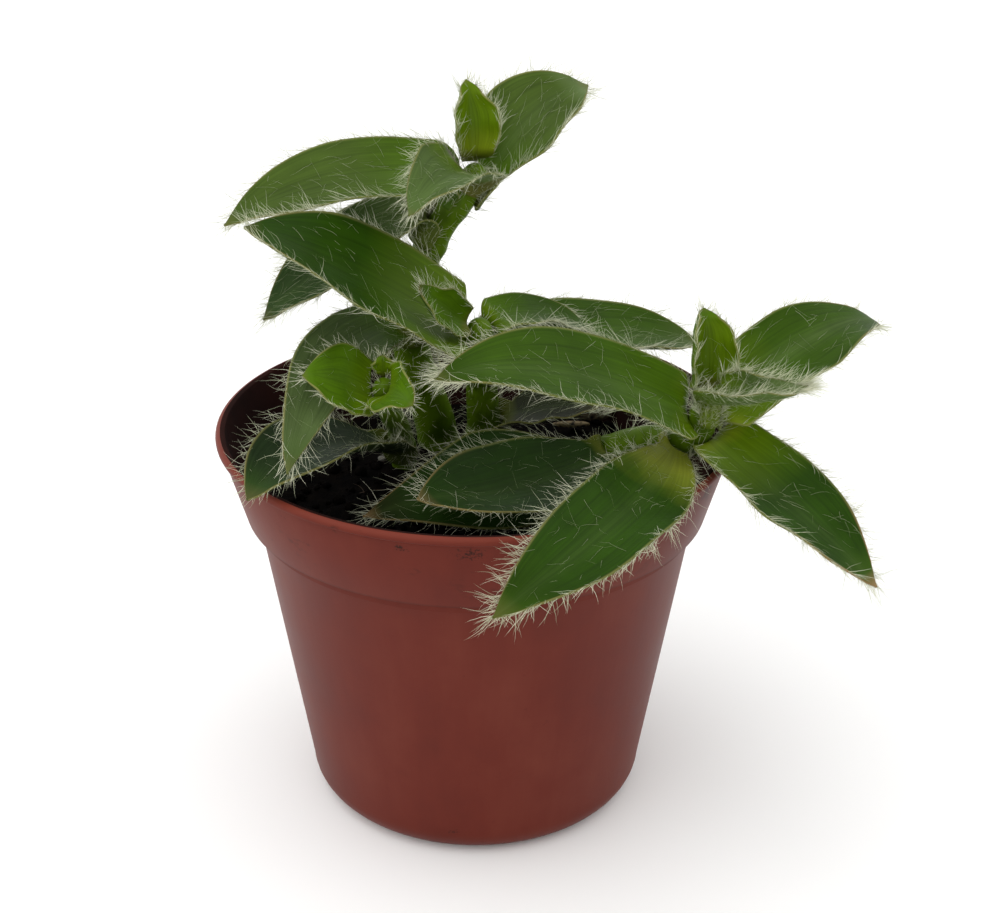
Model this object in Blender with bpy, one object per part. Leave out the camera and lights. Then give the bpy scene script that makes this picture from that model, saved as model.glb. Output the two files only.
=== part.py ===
# A potted kitten ears plant: three hairy leafy shoots and a small side shoot in a 5.5 cm plastic pot.
# Metres and degrees, +Z up. The origin is the centre of the pot's base, and the viewer stands at -Y.

import math
import random

import bmesh
import bpy
from mathutils import Matrix, Quaternion, Vector

# Driving dimensions of the pot
CLEARANCE = 0.0003
RIM_RADIUS = 0.0275
POT_HEIGHT = 0.0432
BASE_RADIUS = 0.0186
BODY_TOP_RADIUS = 0.0234
COLLAR_BOTTOM = 0.0343
COLLAR_BOTTOM_RADIUS = 0.02475
BAND_HEIGHT = 0.0010
BAND_STEP = 0.0006
BAND_SLANT = 0.0002
WALL = 0.0010
FLOOR = 0.0010
FLOOR_CHAMFER = 0.0020
BASE_FILLET = 0.0033
LIP_HEIGHT = 0.0011
LIP_GROOVE = 0.0003
DRAIN_RADIUS = 0.0020
DRAIN_CIRCLE = 0.0105
DRAIN_COUNT = 4
POT_SIDES = 56
ARC_STEPS = 4
LIP_START = -20
CUTTER_SIDES = 16
POT_SHARP_ANGLE = 35
WELD = 0.00001

# The pot's inner wall, which the soil follows
LEDGE_DROP = 0.0003
LEDGE_SLANT = 0.0001
LEDGE = COLLAR_BOTTOM - LEDGE_DROP
FLOOR_RADIUS = BASE_RADIUS - WALL
LEDGE_INNER_RADIUS = BODY_TOP_RADIUS - WALL
LEDGE_OUTER_RADIUS = COLLAR_BOTTOM_RADIUS - WALL - LEDGE_SLANT
RIM_INNER_RADIUS = RIM_RADIUS - WALL

# Driving dimensions of the soil
SOIL_LEVEL = 0.0347
SOIL_RELIEF = 0.0003
SOIL_RINGS = 7
SOIL_SIDES = 40
SOIL_EDGE_RISE = 1.5 * CLEARANCE
HOLE_CLEARANCE = 2 * CLEARANCE
HOLE_TOP = 0.0015
ROOT_LEVEL = 0.0260
SEED = 7

# Driving dimensions of the leaves
RIB_THICKNESS = 0.0009
EDGE_THICKNESS = 0.0006
TIP_HALF_WIDTH = 0.0004
FLAT_TIP_WIDTH = 0.0018
WIDEST_AT = 0.42
NECK_STEPS = 3
BLADE_STEPS = 8
PARTS_PER_STEP = 6
DROOP_CURVE = 1.3
SMALL_LEAF_WIDTH = 0.0072
SMALL_LEAF_COLUMNS = 4
LEAF_COLUMNS = 6
LEAF_SHARP_ANGLE = 50

# Driving dimensions of the stems
CURVE_STEPS = 10
AXIS_REACH = 0.0005
STEM_STEP = 0.0023
STEM_ROUNDNESS = 3

# Colours and roughness by material, as linear RGB
FINISHES = {
    "terracotta_plastic": ((0.27, 0.075, 0.045), 0.5),
    "peat": ((0.012, 0.009, 0.007), 0.95),
    "stem_green": ((0.10, 0.14, 0.03), 0.55),
    "dark_leaf": ((0.035, 0.085, 0.012), 0.35),
    "bright_leaf": ((0.11, 0.21, 0.02), 0.4),
    "grey_leaf": ((0.06, 0.105, 0.04), 0.55),
}

# Each stem: the points that its axis passes, from the root up, its two radii and its length
STEMS = {
    "tall_stem": dict(
        points=[(-0.0048, 0.0129, ROOT_LEVEL), (-0.0044, 0.0119, 0.0360), (-0.0065, 0.0090, 0.0450),
                (-0.0072, 0.0080, 0.0500), (-0.0064, 0.0065, 0.0560), (-0.0044, 0.0055, 0.0615),
                (-0.0016, 0.0050, 0.0660), (0.0006, 0.0044, 0.0695)],
        radii=(0.0026, 0.0013), length=0.0469),
    "middle_stem": dict(
        points=[(0.0015, 0.0095, ROOT_LEVEL), (0.0010, 0.0087, 0.0365), (0.0006, 0.0040, 0.0455),
                (0.0004, 0.0, 0.0510), (0.0004, -0.0020, 0.0550), (0.0006, -0.0028, 0.0575)],
        radii=(0.0022, 0.0014), length=0.0322),
    "right_stem": dict(
        points=[(0.0125, 0.0030, ROOT_LEVEL), (0.0130, 0.0020, 0.0360), (0.0150, 0.0, 0.0396),
                (0.0184, -0.0034, 0.0423), (0.0214, -0.0068, 0.0438), (0.0226, -0.0084, 0.0458),
                (0.0230, -0.0090, 0.0482), (0.0231, -0.0091, 0.0510)],
        radii=(0.0022, 0.0012), length=0.0325),
    "side_stem": dict(
        points=[(-0.0080, 0.0070, ROOT_LEVEL), (-0.0080, 0.0060, 0.0360), (-0.0083, 0.0005, 0.0420),
                (-0.0088, -0.0050, 0.0460), (-0.0090, -0.0098, 0.0500), (-0.0091, -0.0130, 0.0529)],
        radii=(0.0015, 0.0010), length=0.0352),
}

# Each leaf: where it clasps its stem, where it points, its size and its curves.
# node is the way along the stem, heading is the compass angle from +X, rise is the angle above level,
# droop and swing are how far rise and heading turn on the way to the tip, roll turns the blade about
# its own rib, fold and cup close it like a book and a gutter, and wrap is half of the clasp's arc.
LEAVES = {
    "top_left_leaf": dict(
        stem="tall_stem", node=0.0413, heading=-177, rise=3, length=0.0225, width=0.0107, droop=28,
        swing=19, roll=-21, fold=8, cup=22, neck=0.0019, base=0.9, blunt=1.7, finish="dark_leaf"),
    "top_right_leaf": dict(
        stem="tall_stem", node=0.0424, heading=21, rise=59, length=0.0140, width=0.0114, droop=50,
        swing=6, roll=21, fold=8, cup=22, wrap=50, neck=0.0026, base=0.35, blunt=2.3, finish="dark_leaf"),
    "top_front_leaf": dict(
        stem="tall_stem", node=0.0441, heading=-110, rise=25, length=0.0111, width=0.0084, droop=77,
        swing=-29, roll=-18, fold=14, cup=30, wrap=55, sheath=0.0005, neck=0.0017, base=0.95, blunt=1.3,
        finish="grey_leaf"),
    "top_young_leaf": dict(
        stem="tall_stem", node=0.0460, heading=143, rise=88, length=0.0071, width=0.0073, droop=7,
        swing=-3, roll=-30, fold=25, cup=45, wrap=40, sheath=0.0004, neck=0.0008, base=0.75, blunt=1.6,
        finish="bright_leaf"),
    "tall_stem_left_leaf": dict(
        stem="tall_stem", node=0.0364, heading=-182, rise=-30, length=0.0199, width=0.0091, droop=11,
        swing=14, roll=-33, fold=12, cup=30, wrap=90, sheath=0.0020, neck=0.0013, base=0.7,
        finish="grey_leaf"),
    "tall_stem_drooping_leaf": dict(
        stem="tall_stem", node=0.0246, heading=-122, rise=10, length=0.0283, width=0.0076, droop=50,
        swing=24, roll=-29, fold=8, cup=22, wrap=90, sheath=0.0020, neck=0.0011, base=0.8, blunt=1.8,
        finish="grey_leaf"),
    "tall_stem_back_leaf": dict(
        stem="tall_stem", node=0.0190, heading=105, rise=14, length=0.0160, width=0.0095, droop=45,
        fold=8, cup=22, wrap=90, sheath=0.0015, base=0.45, finish="dark_leaf"),
    "middle_left_leaf": dict(
        stem="middle_stem", node=0.0286, heading=-160, rise=36, length=0.0258, width=0.0143, droop=6,
        swing=6, roll=-28, fold=8, cup=22, wrap=55, base=0.9, finish="dark_leaf"),
    "middle_young_leaf": dict(
        stem="middle_stem", node=0.0316, heading=-145, rise=36, length=0.0073, width=0.0054, droop=-20,
        swing=12, roll=-75, fold=20, cup=40, wrap=30, sheath=0.0005, neck=0.0013, base=0.8, blunt=1.4,
        finish="bright_leaf"),
    "middle_right_leaf": dict(
        stem="middle_stem", node=0.0298, heading=32, rise=-3, length=0.0113, width=0.0082, droop=30,
        swing=-22, roll=5, fold=8, wrap=50, sheath=0.0005, neck=0.0008, base=0.9, blunt=1.6,
        finish="bright_leaf"),
    "middle_back_leaf": dict(
        stem="middle_stem", node=0.0236, heading=32, rise=-7, length=0.0238, width=0.0125, droop=4,
        swing=-18, roll=8, fold=8, cup=22, wrap=100, sheath=0.0020, neck=0.0018, base=0.7, blunt=2.8,
        finish="grey_leaf"),
    "middle_low_leaf": dict(
        stem="middle_stem", node=0.0120, heading=-6, rise=18, length=0.0095, width=0.0090, droop=20,
        roll=10, fold=8, cup=22, wrap=90, sheath=0.0015, finish="grey_leaf"),
    "right_shoot_left_leaf": dict(
        stem="right_stem", node=0.0276, heading=-168, rise=30, length=0.0284, width=0.0111, droop=29,
        swing=25, roll=-25, fold=8, cup=22, wrap=40, neck=0.0017, base=0.9, blunt=1.8, finish="dark_leaf"),
    "right_shoot_young_leaf": dict(
        stem="right_stem", node=0.0323, heading=96, rise=87, length=0.0070, width=0.0080, droop=19,
        swing=-2, roll=14, fold=30, cup=50, wrap=40, sheath=0.0005, neck=0.0009, base=0.9, blunt=2.1,
        finish="bright_leaf"),
    "right_shoot_back_leaf": dict(
        stem="right_stem", node=0.0286, heading=28, rise=32, length=0.0265, width=0.0093, droop=60,
        swing=25, roll=25, fold=8, cup=22, wrap=40, neck=0.0008, base=0.9, blunt=1.3, finish="dark_leaf"),
    "right_shoot_outer_leaf": dict(
        stem="right_stem", node=0.0264, heading=-43, rise=-23, length=0.0211, width=0.0116, droop=7,
        swing=4, roll=1, fold=8, cup=22, wrap=40, neck=0.0014, base=0.85, blunt=1.8, finish="dark_leaf"),
    "right_shoot_front_leaf": dict(
        stem="right_stem", node=0.0236, heading=-103, rise=6, length=0.0360, width=0.0097, droop=20,
        swing=-37, roll=-19, fold=8, cup=22, wrap=55, sheath=0.0004, neck=0.0026, base=0.35, blunt=2.8,
        finish="dark_leaf"),
    "right_shoot_folded_leaf": dict(
        stem="right_stem", node=0.0297, heading=-76, rise=22, length=0.0110, width=0.0058, droop=4,
        swing=80, roll=24, fold=30, cup=45, wrap=35, sheath=0.0014, neck=0.0028, base=0.95, blunt=1.2,
        finish="grey_leaf"),
    "front_upper_leaf": dict(
        stem="right_stem", node=0.0138, heading=-129, rise=0, length=0.0267, width=0.0126, droop=-20,
        swing=-15, roll=-14, fold=8, cup=20, wrap=60, neck=0.0012, base=0.4, blunt=2.8,
        finish="dark_leaf"),
    "front_lower_leaf": dict(
        stem="right_stem", node=0.0106, heading=-143, rise=4, length=0.0267, width=0.0128, droop=3,
        swing=-7, roll=-32, fold=5, cup=12, wrap=50, sheath=0.0008, neck=0.0013, base=0.4, blunt=1.2,
        finish="grey_leaf"),
    "side_shoot_rim_leaf": dict(
        stem="side_stem", node=0.0118, heading=-118, rise=28, length=0.0268, width=0.0114, droop=38,
        roll=-4, wrap=90, sheath=0.0015, neck=0.0024, base=0.55, blunt=2.6, finish="grey_leaf"),
    "side_shoot_left_leaf": dict(
        stem="side_stem", node=0.0327, heading=-156, rise=36, length=0.0068, width=0.0082, droop=30,
        swing=-8, roll=-39, fold=6, cup=20, wrap=40, sheath=0.0004, neck=0.0009, base=0.85, blunt=1.6,
        finish="bright_leaf"),
    "side_shoot_right_leaf": dict(
        stem="side_stem", node=0.0347, heading=-70, rise=30, length=0.0055, width=0.0064, droop=45,
        swing=10, roll=50, fold=14, cup=38, wrap=60, sheath=0.0005, neck=0.0010, base=0.95, blunt=1.6,
        finish="bright_leaf"),
    "side_shoot_bud": dict(
        stem="side_stem", node=0.0338, heading=90, rise=110, length=0.0019, width=0.0024, fold=20, cup=35,
        wrap=20, sheath=0.0002, neck=0.0006, base=0.75, finish="bright_leaf"),
}


def clear_scene():
    for thing in list(bpy.data.objects):
        bpy.data.objects.remove(thing, do_unlink=True)


def add_material(name, finish):
    colour, roughness = FINISHES[finish]
    material = bpy.data.materials.new(name + "_" + finish)
    material.use_nodes = True
    shader = material.node_tree.nodes["Principled BSDF"]
    shader.inputs["Base Color"].default_value = (*colour, 1)
    shader.inputs["Roughness"].default_value = roughness
    shader.inputs["Metallic"].default_value = 0
    return material


def add_object(name, data, finish):
    thing = bpy.data.objects.new(name, data)
    bpy.context.collection.objects.link(thing)
    thing.data.materials.append(add_material(name, finish))
    return thing


def mesh_from(name, shape):
    bmesh.ops.recalc_face_normals(shape, faces=shape.faces)
    mesh = bpy.data.meshes.new(name)
    shape.to_mesh(mesh)
    shape.free()
    return mesh


def shade_round(mesh, angle):
    mesh.shade_smooth()
    mesh.set_sharp_from_angle(angle=math.radians(angle))


# The turned solids: a profile of (radius, height) points, both ends on the axis, spun round Z
def turned_mesh(name, profile, sides):
    shape = bmesh.new()
    corners = [shape.verts.new((radius, 0, height)) for radius, height in profile]
    edges = [shape.edges.new(pair) for pair in zip(corners, corners[1:])]
    bmesh.ops.spin(shape, geom=corners + edges, cent=(0, 0, 0), axis=(0, 0, 1),
                   angle=math.tau, steps=sides, use_merge=True)
    bmesh.ops.remove_doubles(shape, verts=shape.verts, dist=WELD)
    return mesh_from(name, shape)


def arc(centre, radius, start, end):
    points = []
    for step in range(ARC_STEPS + 1):
        angle = math.radians(start + (end - start) * step / ARC_STEPS)
        points.append((centre[0] + radius * math.cos(angle), centre[1] + radius * math.sin(angle)))
    return points


# The inner radius of the pot's wall at a height
def wall_radius(height):
    if height < LEDGE:
        corner = FLOOR + FLOOR_CHAMFER
        share = (height - corner) / (LEDGE - corner)
        return FLOOR_RADIUS + (LEDGE_INNER_RADIUS - FLOOR_RADIUS) * share
    share = (height - LEDGE) / (POT_HEIGHT - LEDGE)
    return LEDGE_OUTER_RADIUS + (RIM_INNER_RADIUS - LEDGE_OUTER_RADIUS) * share


def add_pot():
    band_bottom = COLLAR_BOTTOM - BAND_HEIGHT
    lip_bottom = POT_HEIGHT - LIP_HEIGHT
    lip_round = LIP_HEIGHT / 2
    fillet_centre = (BASE_RADIUS - BASE_FILLET, BASE_FILLET)
    profile = [(0, 0)]
    profile += arc(fillet_centre, BASE_FILLET, -90, 0)
    profile += [(BODY_TOP_RADIUS, band_bottom - BAND_SLANT),
                (BODY_TOP_RADIUS + BAND_STEP, band_bottom),
                (BODY_TOP_RADIUS + BAND_STEP, COLLAR_BOTTOM - BAND_SLANT),
                (COLLAR_BOTTOM_RADIUS, COLLAR_BOTTOM),
                (RIM_RADIUS - LIP_GROOVE * 2, lip_bottom - LIP_GROOVE),
                (RIM_RADIUS - LIP_GROOVE * 2, lip_bottom)]
    profile += arc((RIM_RADIUS - lip_round, POT_HEIGHT - lip_round), lip_round, LIP_START, 90)
    profile += [(RIM_INNER_RADIUS, POT_HEIGHT - LEDGE_SLANT),
                (LEDGE_OUTER_RADIUS, LEDGE + LEDGE_SLANT),
                (LEDGE_INNER_RADIUS, LEDGE - LEDGE_SLANT),
                (FLOOR_RADIUS, FLOOR + FLOOR_CHAMFER),
                (FLOOR_RADIUS - FLOOR_CHAMFER, FLOOR),
                (0, FLOOR)]
    mesh = turned_mesh("pot", profile, POT_SIDES)
    shade_round(mesh, POT_SHARP_ANGLE)
    pot = add_object("pot", mesh, "terracotta_plastic")
    for hole in range(DRAIN_COUNT):
        angle = math.tau * (hole + 0.5) / DRAIN_COUNT
        start = Vector((DRAIN_CIRCLE * math.cos(angle), DRAIN_CIRCLE * math.sin(angle), -FLOOR))
        cut_hole(pot, f"drain_cutter_{hole}", start, start + Vector((0, 0, 3 * FLOOR)), DRAIN_RADIUS)
    return pot


# A hidden round cutter from start to end, taken out of the target
def cut_hole(target, name, start, end, radius):
    shape = bmesh.new()
    bmesh.ops.create_cone(shape, cap_ends=True, segments=CUTTER_SIDES, radius1=radius, radius2=radius,
                          depth=(end - start).length)
    turn = Vector((0, 0, 1)).rotation_difference(end - start).to_matrix().to_4x4()
    shape.transform(Matrix.Translation((start + end) / 2) @ turn)
    cutter = bpy.data.objects.new(name, mesh_from(name, shape))
    bpy.context.collection.objects.link(cutter)
    cutter.hide_render = True
    cutter.display_type = "WIRE"
    cut = target.modifiers.new(name, "BOOLEAN")
    cut.operation = "DIFFERENCE"
    cut.solver = "EXACT"
    cut.object = cutter


# The peat: it fills the pot to the ledge, and its top is rough
def add_soil(stems):
    below_ledge = LEDGE - 2 * CLEARANCE
    edge = LEDGE_OUTER_RADIUS - CLEARANCE
    side = [(FLOOR_RADIUS - FLOOR_CHAMFER - CLEARANCE, FLOOR + CLEARANCE),
            (FLOOR_RADIUS - CLEARANCE, FLOOR + FLOOR_CHAMFER + CLEARANCE),
            (wall_radius(below_ledge) - CLEARANCE, below_ledge),
            (wall_radius(below_ledge) - CLEARANCE, LEDGE + CLEARANCE),
            (edge, LEDGE + SOIL_EDGE_RISE)]
    top = [(edge * ring / SOIL_RINGS, SOIL_LEVEL) for ring in range(SOIL_RINGS, -1, -1)]
    profile = [(0, FLOOR + CLEARANCE)] + side + top
    mesh = turned_mesh("soil", profile, SOIL_SIDES)
    draw = random.Random(SEED)
    for vertex in mesh.vertices:
        if vertex.co.z > SOIL_LEVEL - WELD and vertex.co.xy.length < edge - CLEARANCE:
            vertex.co.z += draw.uniform(-SOIL_RELIEF, SOIL_RELIEF)
    soil = add_object("soil", mesh, "peat")
    for name, stem in stems.items():
        start = stem.line[0] - Vector((0, 0, CLEARANCE))
        end, _ = stem.at(SOIL_LEVEL - ROOT_LEVEL + HOLE_TOP)
        cut_hole(soil, f"{name}_cutter", start, end, stem.radius(0) + HOLE_CLEARANCE)
    return soil


# A stem's axis is a smooth line through its points, cut off at its length
class Stem:
    def __init__(self, points, radii, length):
        self.bottom_radius, self.top_radius = radii
        self.length = length
        self.line = []
        self.distances = []
        travelled = 0
        for point in smooth_line(points):
            if self.line:
                travelled += (point - self.line[-1]).length
            self.line.append(point)
            self.distances.append(travelled)
        end = self.point(length)
        kept = sum(distance < length for distance in self.distances)
        self.line = self.line[:kept] + [end]
        self.distances = self.distances[:kept] + [length]

    def point(self, distance):
        distance = min(max(distance, 0), self.distances[-1])
        after = next(i for i, value in enumerate(self.distances) if value >= distance and i > 0)
        low, high = self.distances[after - 1], self.distances[after]
        return self.line[after - 1].lerp(self.line[after], (distance - low) / (high - low))

    def at(self, distance):
        axis = self.point(distance + AXIS_REACH) - self.point(distance - AXIS_REACH)
        return self.point(distance), axis.normalized()

    def radius(self, distance):
        return self.bottom_radius + (self.top_radius - self.bottom_radius) * distance / self.length


def smooth_line(points):
    corners = [Vector(point) for point in points]
    corners = [2 * corners[0] - corners[1]] + corners + [2 * corners[-1] - corners[-2]]
    line = []
    for a, b, c, d in zip(corners, corners[1:], corners[2:], corners[3:]):
        for step in range(CURVE_STEPS):
            t = step / CURVE_STEPS
            line.append((2 * b + (c - a) * t + (2 * a - 5 * b + 4 * c - d) * t ** 2
                         + (3 * b - a - 3 * c + d) * t ** 3) / 2)
    line.append(corners[-2])
    return line


def add_stem(name, stem):
    curve = bpy.data.curves.new(name, "CURVE")
    curve.dimensions = "3D"
    curve.bevel_depth = 1
    curve.bevel_resolution = STEM_ROUNDNESS
    curve.use_fill_caps = True
    steps = round(stem.length / STEM_STEP)
    places = [stem.length * step / steps for step in range(steps + 1)]
    spline = curve.splines.new("POLY")
    spline.points.add(len(places) - 1)
    for corner, place in zip(spline.points, places):
        corner.co = (*stem.point(place), 1)
        corner.radius = stem.radius(place)
    return add_object(name, curve, "stem_green")


# The way that a blade points, and the way that its upper face looks
def pointing(heading, rise):
    heading, rise = math.radians(heading), math.radians(rise)
    return Vector((math.cos(rise) * math.cos(heading), math.cos(rise) * math.sin(heading),
                   math.sin(rise)))


def upper_face(heading, rise, roll):
    along = pointing(heading, rise)
    return Quaternion(along, math.radians(roll)) @ pointing(heading, rise + 90)


def frame_rotation(along, up):
    return Matrix((along, up, along.cross(up))).transposed().to_quaternion()


def ease(share):
    return share * share * (3 - 2 * share)


# Half of the blade's width, as a share of its widest, from its base (0) to its tip (1)
def outline(share, base, blunt):
    if share < WIDEST_AT:
        return base + (1 - base) * math.sin(share / WIDEST_AT * math.pi / 2)
    return 1 - ((share - WIDEST_AT) / (1 - WIDEST_AT)) ** blunt


# A station is a place on the rib: its point, its two directions, the half arc across the leaf,
# the angle that the arc bends through, the fold at the rib and the thickness there
def leaf_stations(stem, node, heading, rise, length, width, droop=0, swing=0, roll=0, fold=10,
                  cup=25, wrap=70, sheath=0.0010, neck=0.0016, base=0.5, blunt=2.0):
    clasp_radius = stem.radius(node) + CLEARANCE + EDGE_THICKNESS / 2
    wrap, cup, fold = math.radians(wrap), math.radians(cup), math.radians(fold)
    clasp_arc = wrap * clasp_radius
    stations = []
    for distance in (node, node + sheath):
        centre, axis = stem.at(distance)
        outward = pointing(heading, 0)
        outward = (outward - outward.dot(axis) * axis).normalized()
        stations.append((centre + outward * clasp_radius, axis, -outward, clasp_arc, wrap, 0,
                         EDGE_THICKNESS))
    point = stations[-1][0]
    turn_from = frame_rotation(axis, -outward)
    turn_to = frame_rotation(pointing(heading, rise), upper_face(heading, rise, roll))
    for step in range(1, NECK_STEPS + 1):
        along = turn_from.slerp(turn_to, ease((step - 0.5) / NECK_STEPS)).to_matrix().col[0]
        point = point + along * neck / NECK_STEPS
        share = ease(step / NECK_STEPS)
        turned = turn_from.slerp(turn_to, share).to_matrix()
        stations.append((point, turned.col[0], turned.col[1],
                         clasp_arc + (width / 2 * base - clasp_arc) * share,
                         wrap + (cup - wrap) * share, fold * share, EDGE_THICKNESS))
    for step in range(1, BLADE_STEPS + 1):
        for part in range(PARTS_PER_STEP):
            share = (step - 1 + (part + 0.5) / PARTS_PER_STEP) / BLADE_STEPS
            along = pointing(heading + swing * share, rise - droop * share ** DROOP_CURVE)
            point = point + along * length / BLADE_STEPS / PARTS_PER_STEP
        share = step / BLADE_STEPS
        here, tilt = heading + swing * share, rise - droop * share ** DROOP_CURVE
        half = max(width / 2 * outline(share, base, blunt), TIP_HALF_WIDTH)
        closing = min(1, half / FLAT_TIP_WIDTH)
        rib = RIB_THICKNESS if step < BLADE_STEPS else EDGE_THICKNESS
        stations.append((point, pointing(here, tilt), upper_face(here, tilt, roll), half,
                         cup * closing, fold * closing, rib))
    return stations


# Both faces of the leaf at one station, from its one edge across the rib to its other edge
def cross_section(station, columns):
    point, along, up, half_arc, bend, fold, rib = station
    across = along.cross(up)
    curvature = bend / half_arc
    top, bottom = [], []
    for column in range(columns + 1):
        share = abs(2 * column / columns - 1)
        side = 1 if 2 * column >= columns else -1
        slope = fold + bend * share
        out = (math.sin(slope) - math.sin(fold)) / curvature
        lift = (math.cos(fold) - math.cos(slope)) / curvature
        if share == 0:
            slope = 0
        normal = up * math.cos(slope) - across * side * math.sin(slope)
        offset = normal * (rib + (EDGE_THICKNESS - rib) * share) / 2
        middle = point + across * side * out + up * lift
        top.append(middle + offset)
        bottom.append(middle - offset)
    return top, bottom


def add_leaf(name, stations, columns, finish):
    shape = bmesh.new()
    rows = []
    for station in stations:
        faces = cross_section(station, columns)
        rows.append([[shape.verts.new(point) for point in face] for face in faces])
    for (top, bottom), (next_top, next_bottom) in zip(rows, rows[1:]):
        for left in range(columns):
            right = left + 1
            for a, b in ((top, next_top), (bottom, next_bottom)):
                if right <= columns // 2:
                    shape.faces.new((a[left], b[left], b[right]))
                    shape.faces.new((a[left], b[right], a[right]))
                else:
                    shape.faces.new((a[left], b[left], a[right]))
                    shape.faces.new((b[left], b[right], a[right]))
        for edge in (0, columns):
            shape.faces.new((top[edge], next_top[edge], next_bottom[edge]))
            shape.faces.new((top[edge], next_bottom[edge], bottom[edge]))
    for top, bottom in (rows[0], rows[-1]):
        for left in range(columns):
            shape.faces.new((top[left], top[left + 1], bottom[left + 1], bottom[left]))
    mesh = mesh_from(name, shape)
    shade_round(mesh, LEAF_SHARP_ANGLE)
    return add_object(name, mesh, finish)


def add_leaves(stems):
    for name, leaf in LEAVES.items():
        growth = {key: value for key, value in leaf.items() if key not in ("stem", "finish")}
        stations = leaf_stations(stems[leaf["stem"]], **growth)
        columns = SMALL_LEAF_COLUMNS if leaf["width"] < SMALL_LEAF_WIDTH else LEAF_COLUMNS
        add_leaf(name, stations, columns, leaf["finish"])


def main():
    clear_scene()
    stems = {name: Stem(**growth) for name, growth in STEMS.items()}
    add_pot()
    add_soil(stems)
    for name, stem in stems.items():
        add_stem(name, stem)
    add_leaves(stems)


main()
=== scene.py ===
import math

import bpy
import numpy as np
from mathutils import Matrix, Quaternion, Vector, noise


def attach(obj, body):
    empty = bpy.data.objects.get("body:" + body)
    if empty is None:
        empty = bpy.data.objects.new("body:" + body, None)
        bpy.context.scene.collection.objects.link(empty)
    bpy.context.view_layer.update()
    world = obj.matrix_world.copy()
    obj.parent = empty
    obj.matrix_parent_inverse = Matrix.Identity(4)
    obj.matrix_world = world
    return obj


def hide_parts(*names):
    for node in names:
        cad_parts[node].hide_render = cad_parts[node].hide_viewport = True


# A kitten ears plant in a small plastic pot: waxy leaves with white hairs, stems, peat and pot.
# Metres and degrees, as in the frame. The viewer stands at -Y.
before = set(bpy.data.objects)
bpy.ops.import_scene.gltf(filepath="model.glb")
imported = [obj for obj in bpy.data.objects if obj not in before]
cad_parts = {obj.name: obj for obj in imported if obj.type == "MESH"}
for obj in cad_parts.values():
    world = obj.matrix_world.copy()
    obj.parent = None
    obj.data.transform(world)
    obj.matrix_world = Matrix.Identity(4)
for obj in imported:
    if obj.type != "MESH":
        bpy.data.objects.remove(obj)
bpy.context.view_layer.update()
print("frame loaded")


# Small helpers
def clearSelection():
    bpy.ops.object.select_all(action="DESELECT")
    bpy.context.view_layer.objects.active = None


def choose(piece):
    clearSelection()
    piece.select_set(True)
    bpy.context.view_layer.objects.active = piece


def startEditing():
    bpy.ops.object.mode_set(mode="EDIT")
    bpy.ops.mesh.select_all(action="SELECT")


def settle(piece, slotName, *nodes):
    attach(piece, "root")
    if nodes:
        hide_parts(*nodes)


def cover(piece, *materials):
    piece.data.materials.clear()
    for material in materials:
        piece.data.materials.append(material)


def addObject(name, data):
    piece = bpy.data.objects.new(name, data)
    bpy.context.collection.objects.link(piece)
    return piece


def addPiece(name, mesh, material, slotName):
    mesh.materials.append(material)
    settle(addObject(name, mesh), slotName)


def unit(vectors):
    return vectors / np.maximum(np.linalg.norm(vectors, axis=-1, keepdims=True), 1e-12)


def screenColour(red, green, blue):  # a colour as a screen shows it, made linear
    shares = [value / 255 for value in (red, green, blue)]
    return (*[((s + 0.055) / 1.055) ** 2.4 if s > 0.04 else s / 12.92 for s in shares], 1)


def setInputs(tree, node, inputs):
    for socket, value in inputs.items():
        if isinstance(value, bpy.types.NodeSocket):
            tree.links.new(value, node.inputs[socket])
        else:
            node.inputs[socket].default_value = value


def addNode(tree, kind, inputs=None, **settings):
    node = tree.nodes.new("ShaderNode" + kind)
    for key, value in settings.items():
        setattr(node, key, value)
    setInputs(tree, node, inputs or {})
    return node


def addRamp(tree, factor, stops):
    ramp = addNode(tree, "ValToRGB", {0: factor})
    elements = ramp.color_ramp.elements
    while len(elements) < len(stops):
        elements.new(0.5)
    for element, (place, colour) in zip(elements, stops):
        element.position = place
        element.color = colour if isinstance(colour, tuple) else (colour, colour, colour, 1)
    return ramp.outputs[0]


def mixColours(tree, factor, first, second, blend="MIX"):
    mix = addNode(tree, "Mix", {0: factor, 6: first, 7: second}, data_type="RGBA", blend_type=blend)
    return mix.outputs[2]


def calculate(tree, operation, first, second=0.0, third=0.0):
    return addNode(tree, "Math", {0: first, 1: second, 2: third}, operation=operation).outputs[0]


def multiply(tree, value, times, plus=0.0):
    return calculate(tree, "MULTIPLY_ADD", value, times, plus)


def measure(tree, operation, inputs):
    return addNode(tree, "VectorMath", inputs, operation=operation).outputs["Value"]


def mottle(tree, colour, pattern, dark, pale):
    shades = addRamp(tree, pattern, [(0.3, dark), (0.7, pale)])
    return mixColours(tree, 1.0, colour, shades, "MULTIPLY")


def addNoise(tree, place, scale, detail=3.0, roughness=0.5):
    return addNode(tree, "TexNoise", {"Vector": place, "Scale": scale, "Detail": detail,
                                      "Roughness": roughness}).outputs[0]


def startMaterial(name):
    material = bpy.data.materials.new(name)
    material.use_nodes = True
    tree = material.node_tree
    return material, tree, tree.nodes["Principled BSDF"]


def objectPlace(tree, scale=(1, 1, 1)):
    place = addNode(tree, "TexCoord").outputs["Object"]
    return addNode(tree, "Mapping", {0: place, 3: scale}).outputs[0]


def finishSkin(tree, shader, colour, roughness, specular=0.5):
    setInputs(tree, shader, {"Base Color": colour, "Roughness": roughness,
                             "Specular IOR Level": specular})


def addBump(tree, shader, height, strength, distance):
    bump = addNode(tree, "Bump", {"Strength": strength, "Distance": distance, "Height": height})
    tree.links.new(bump.outputs[0], shader.inputs["Normal"])


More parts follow.
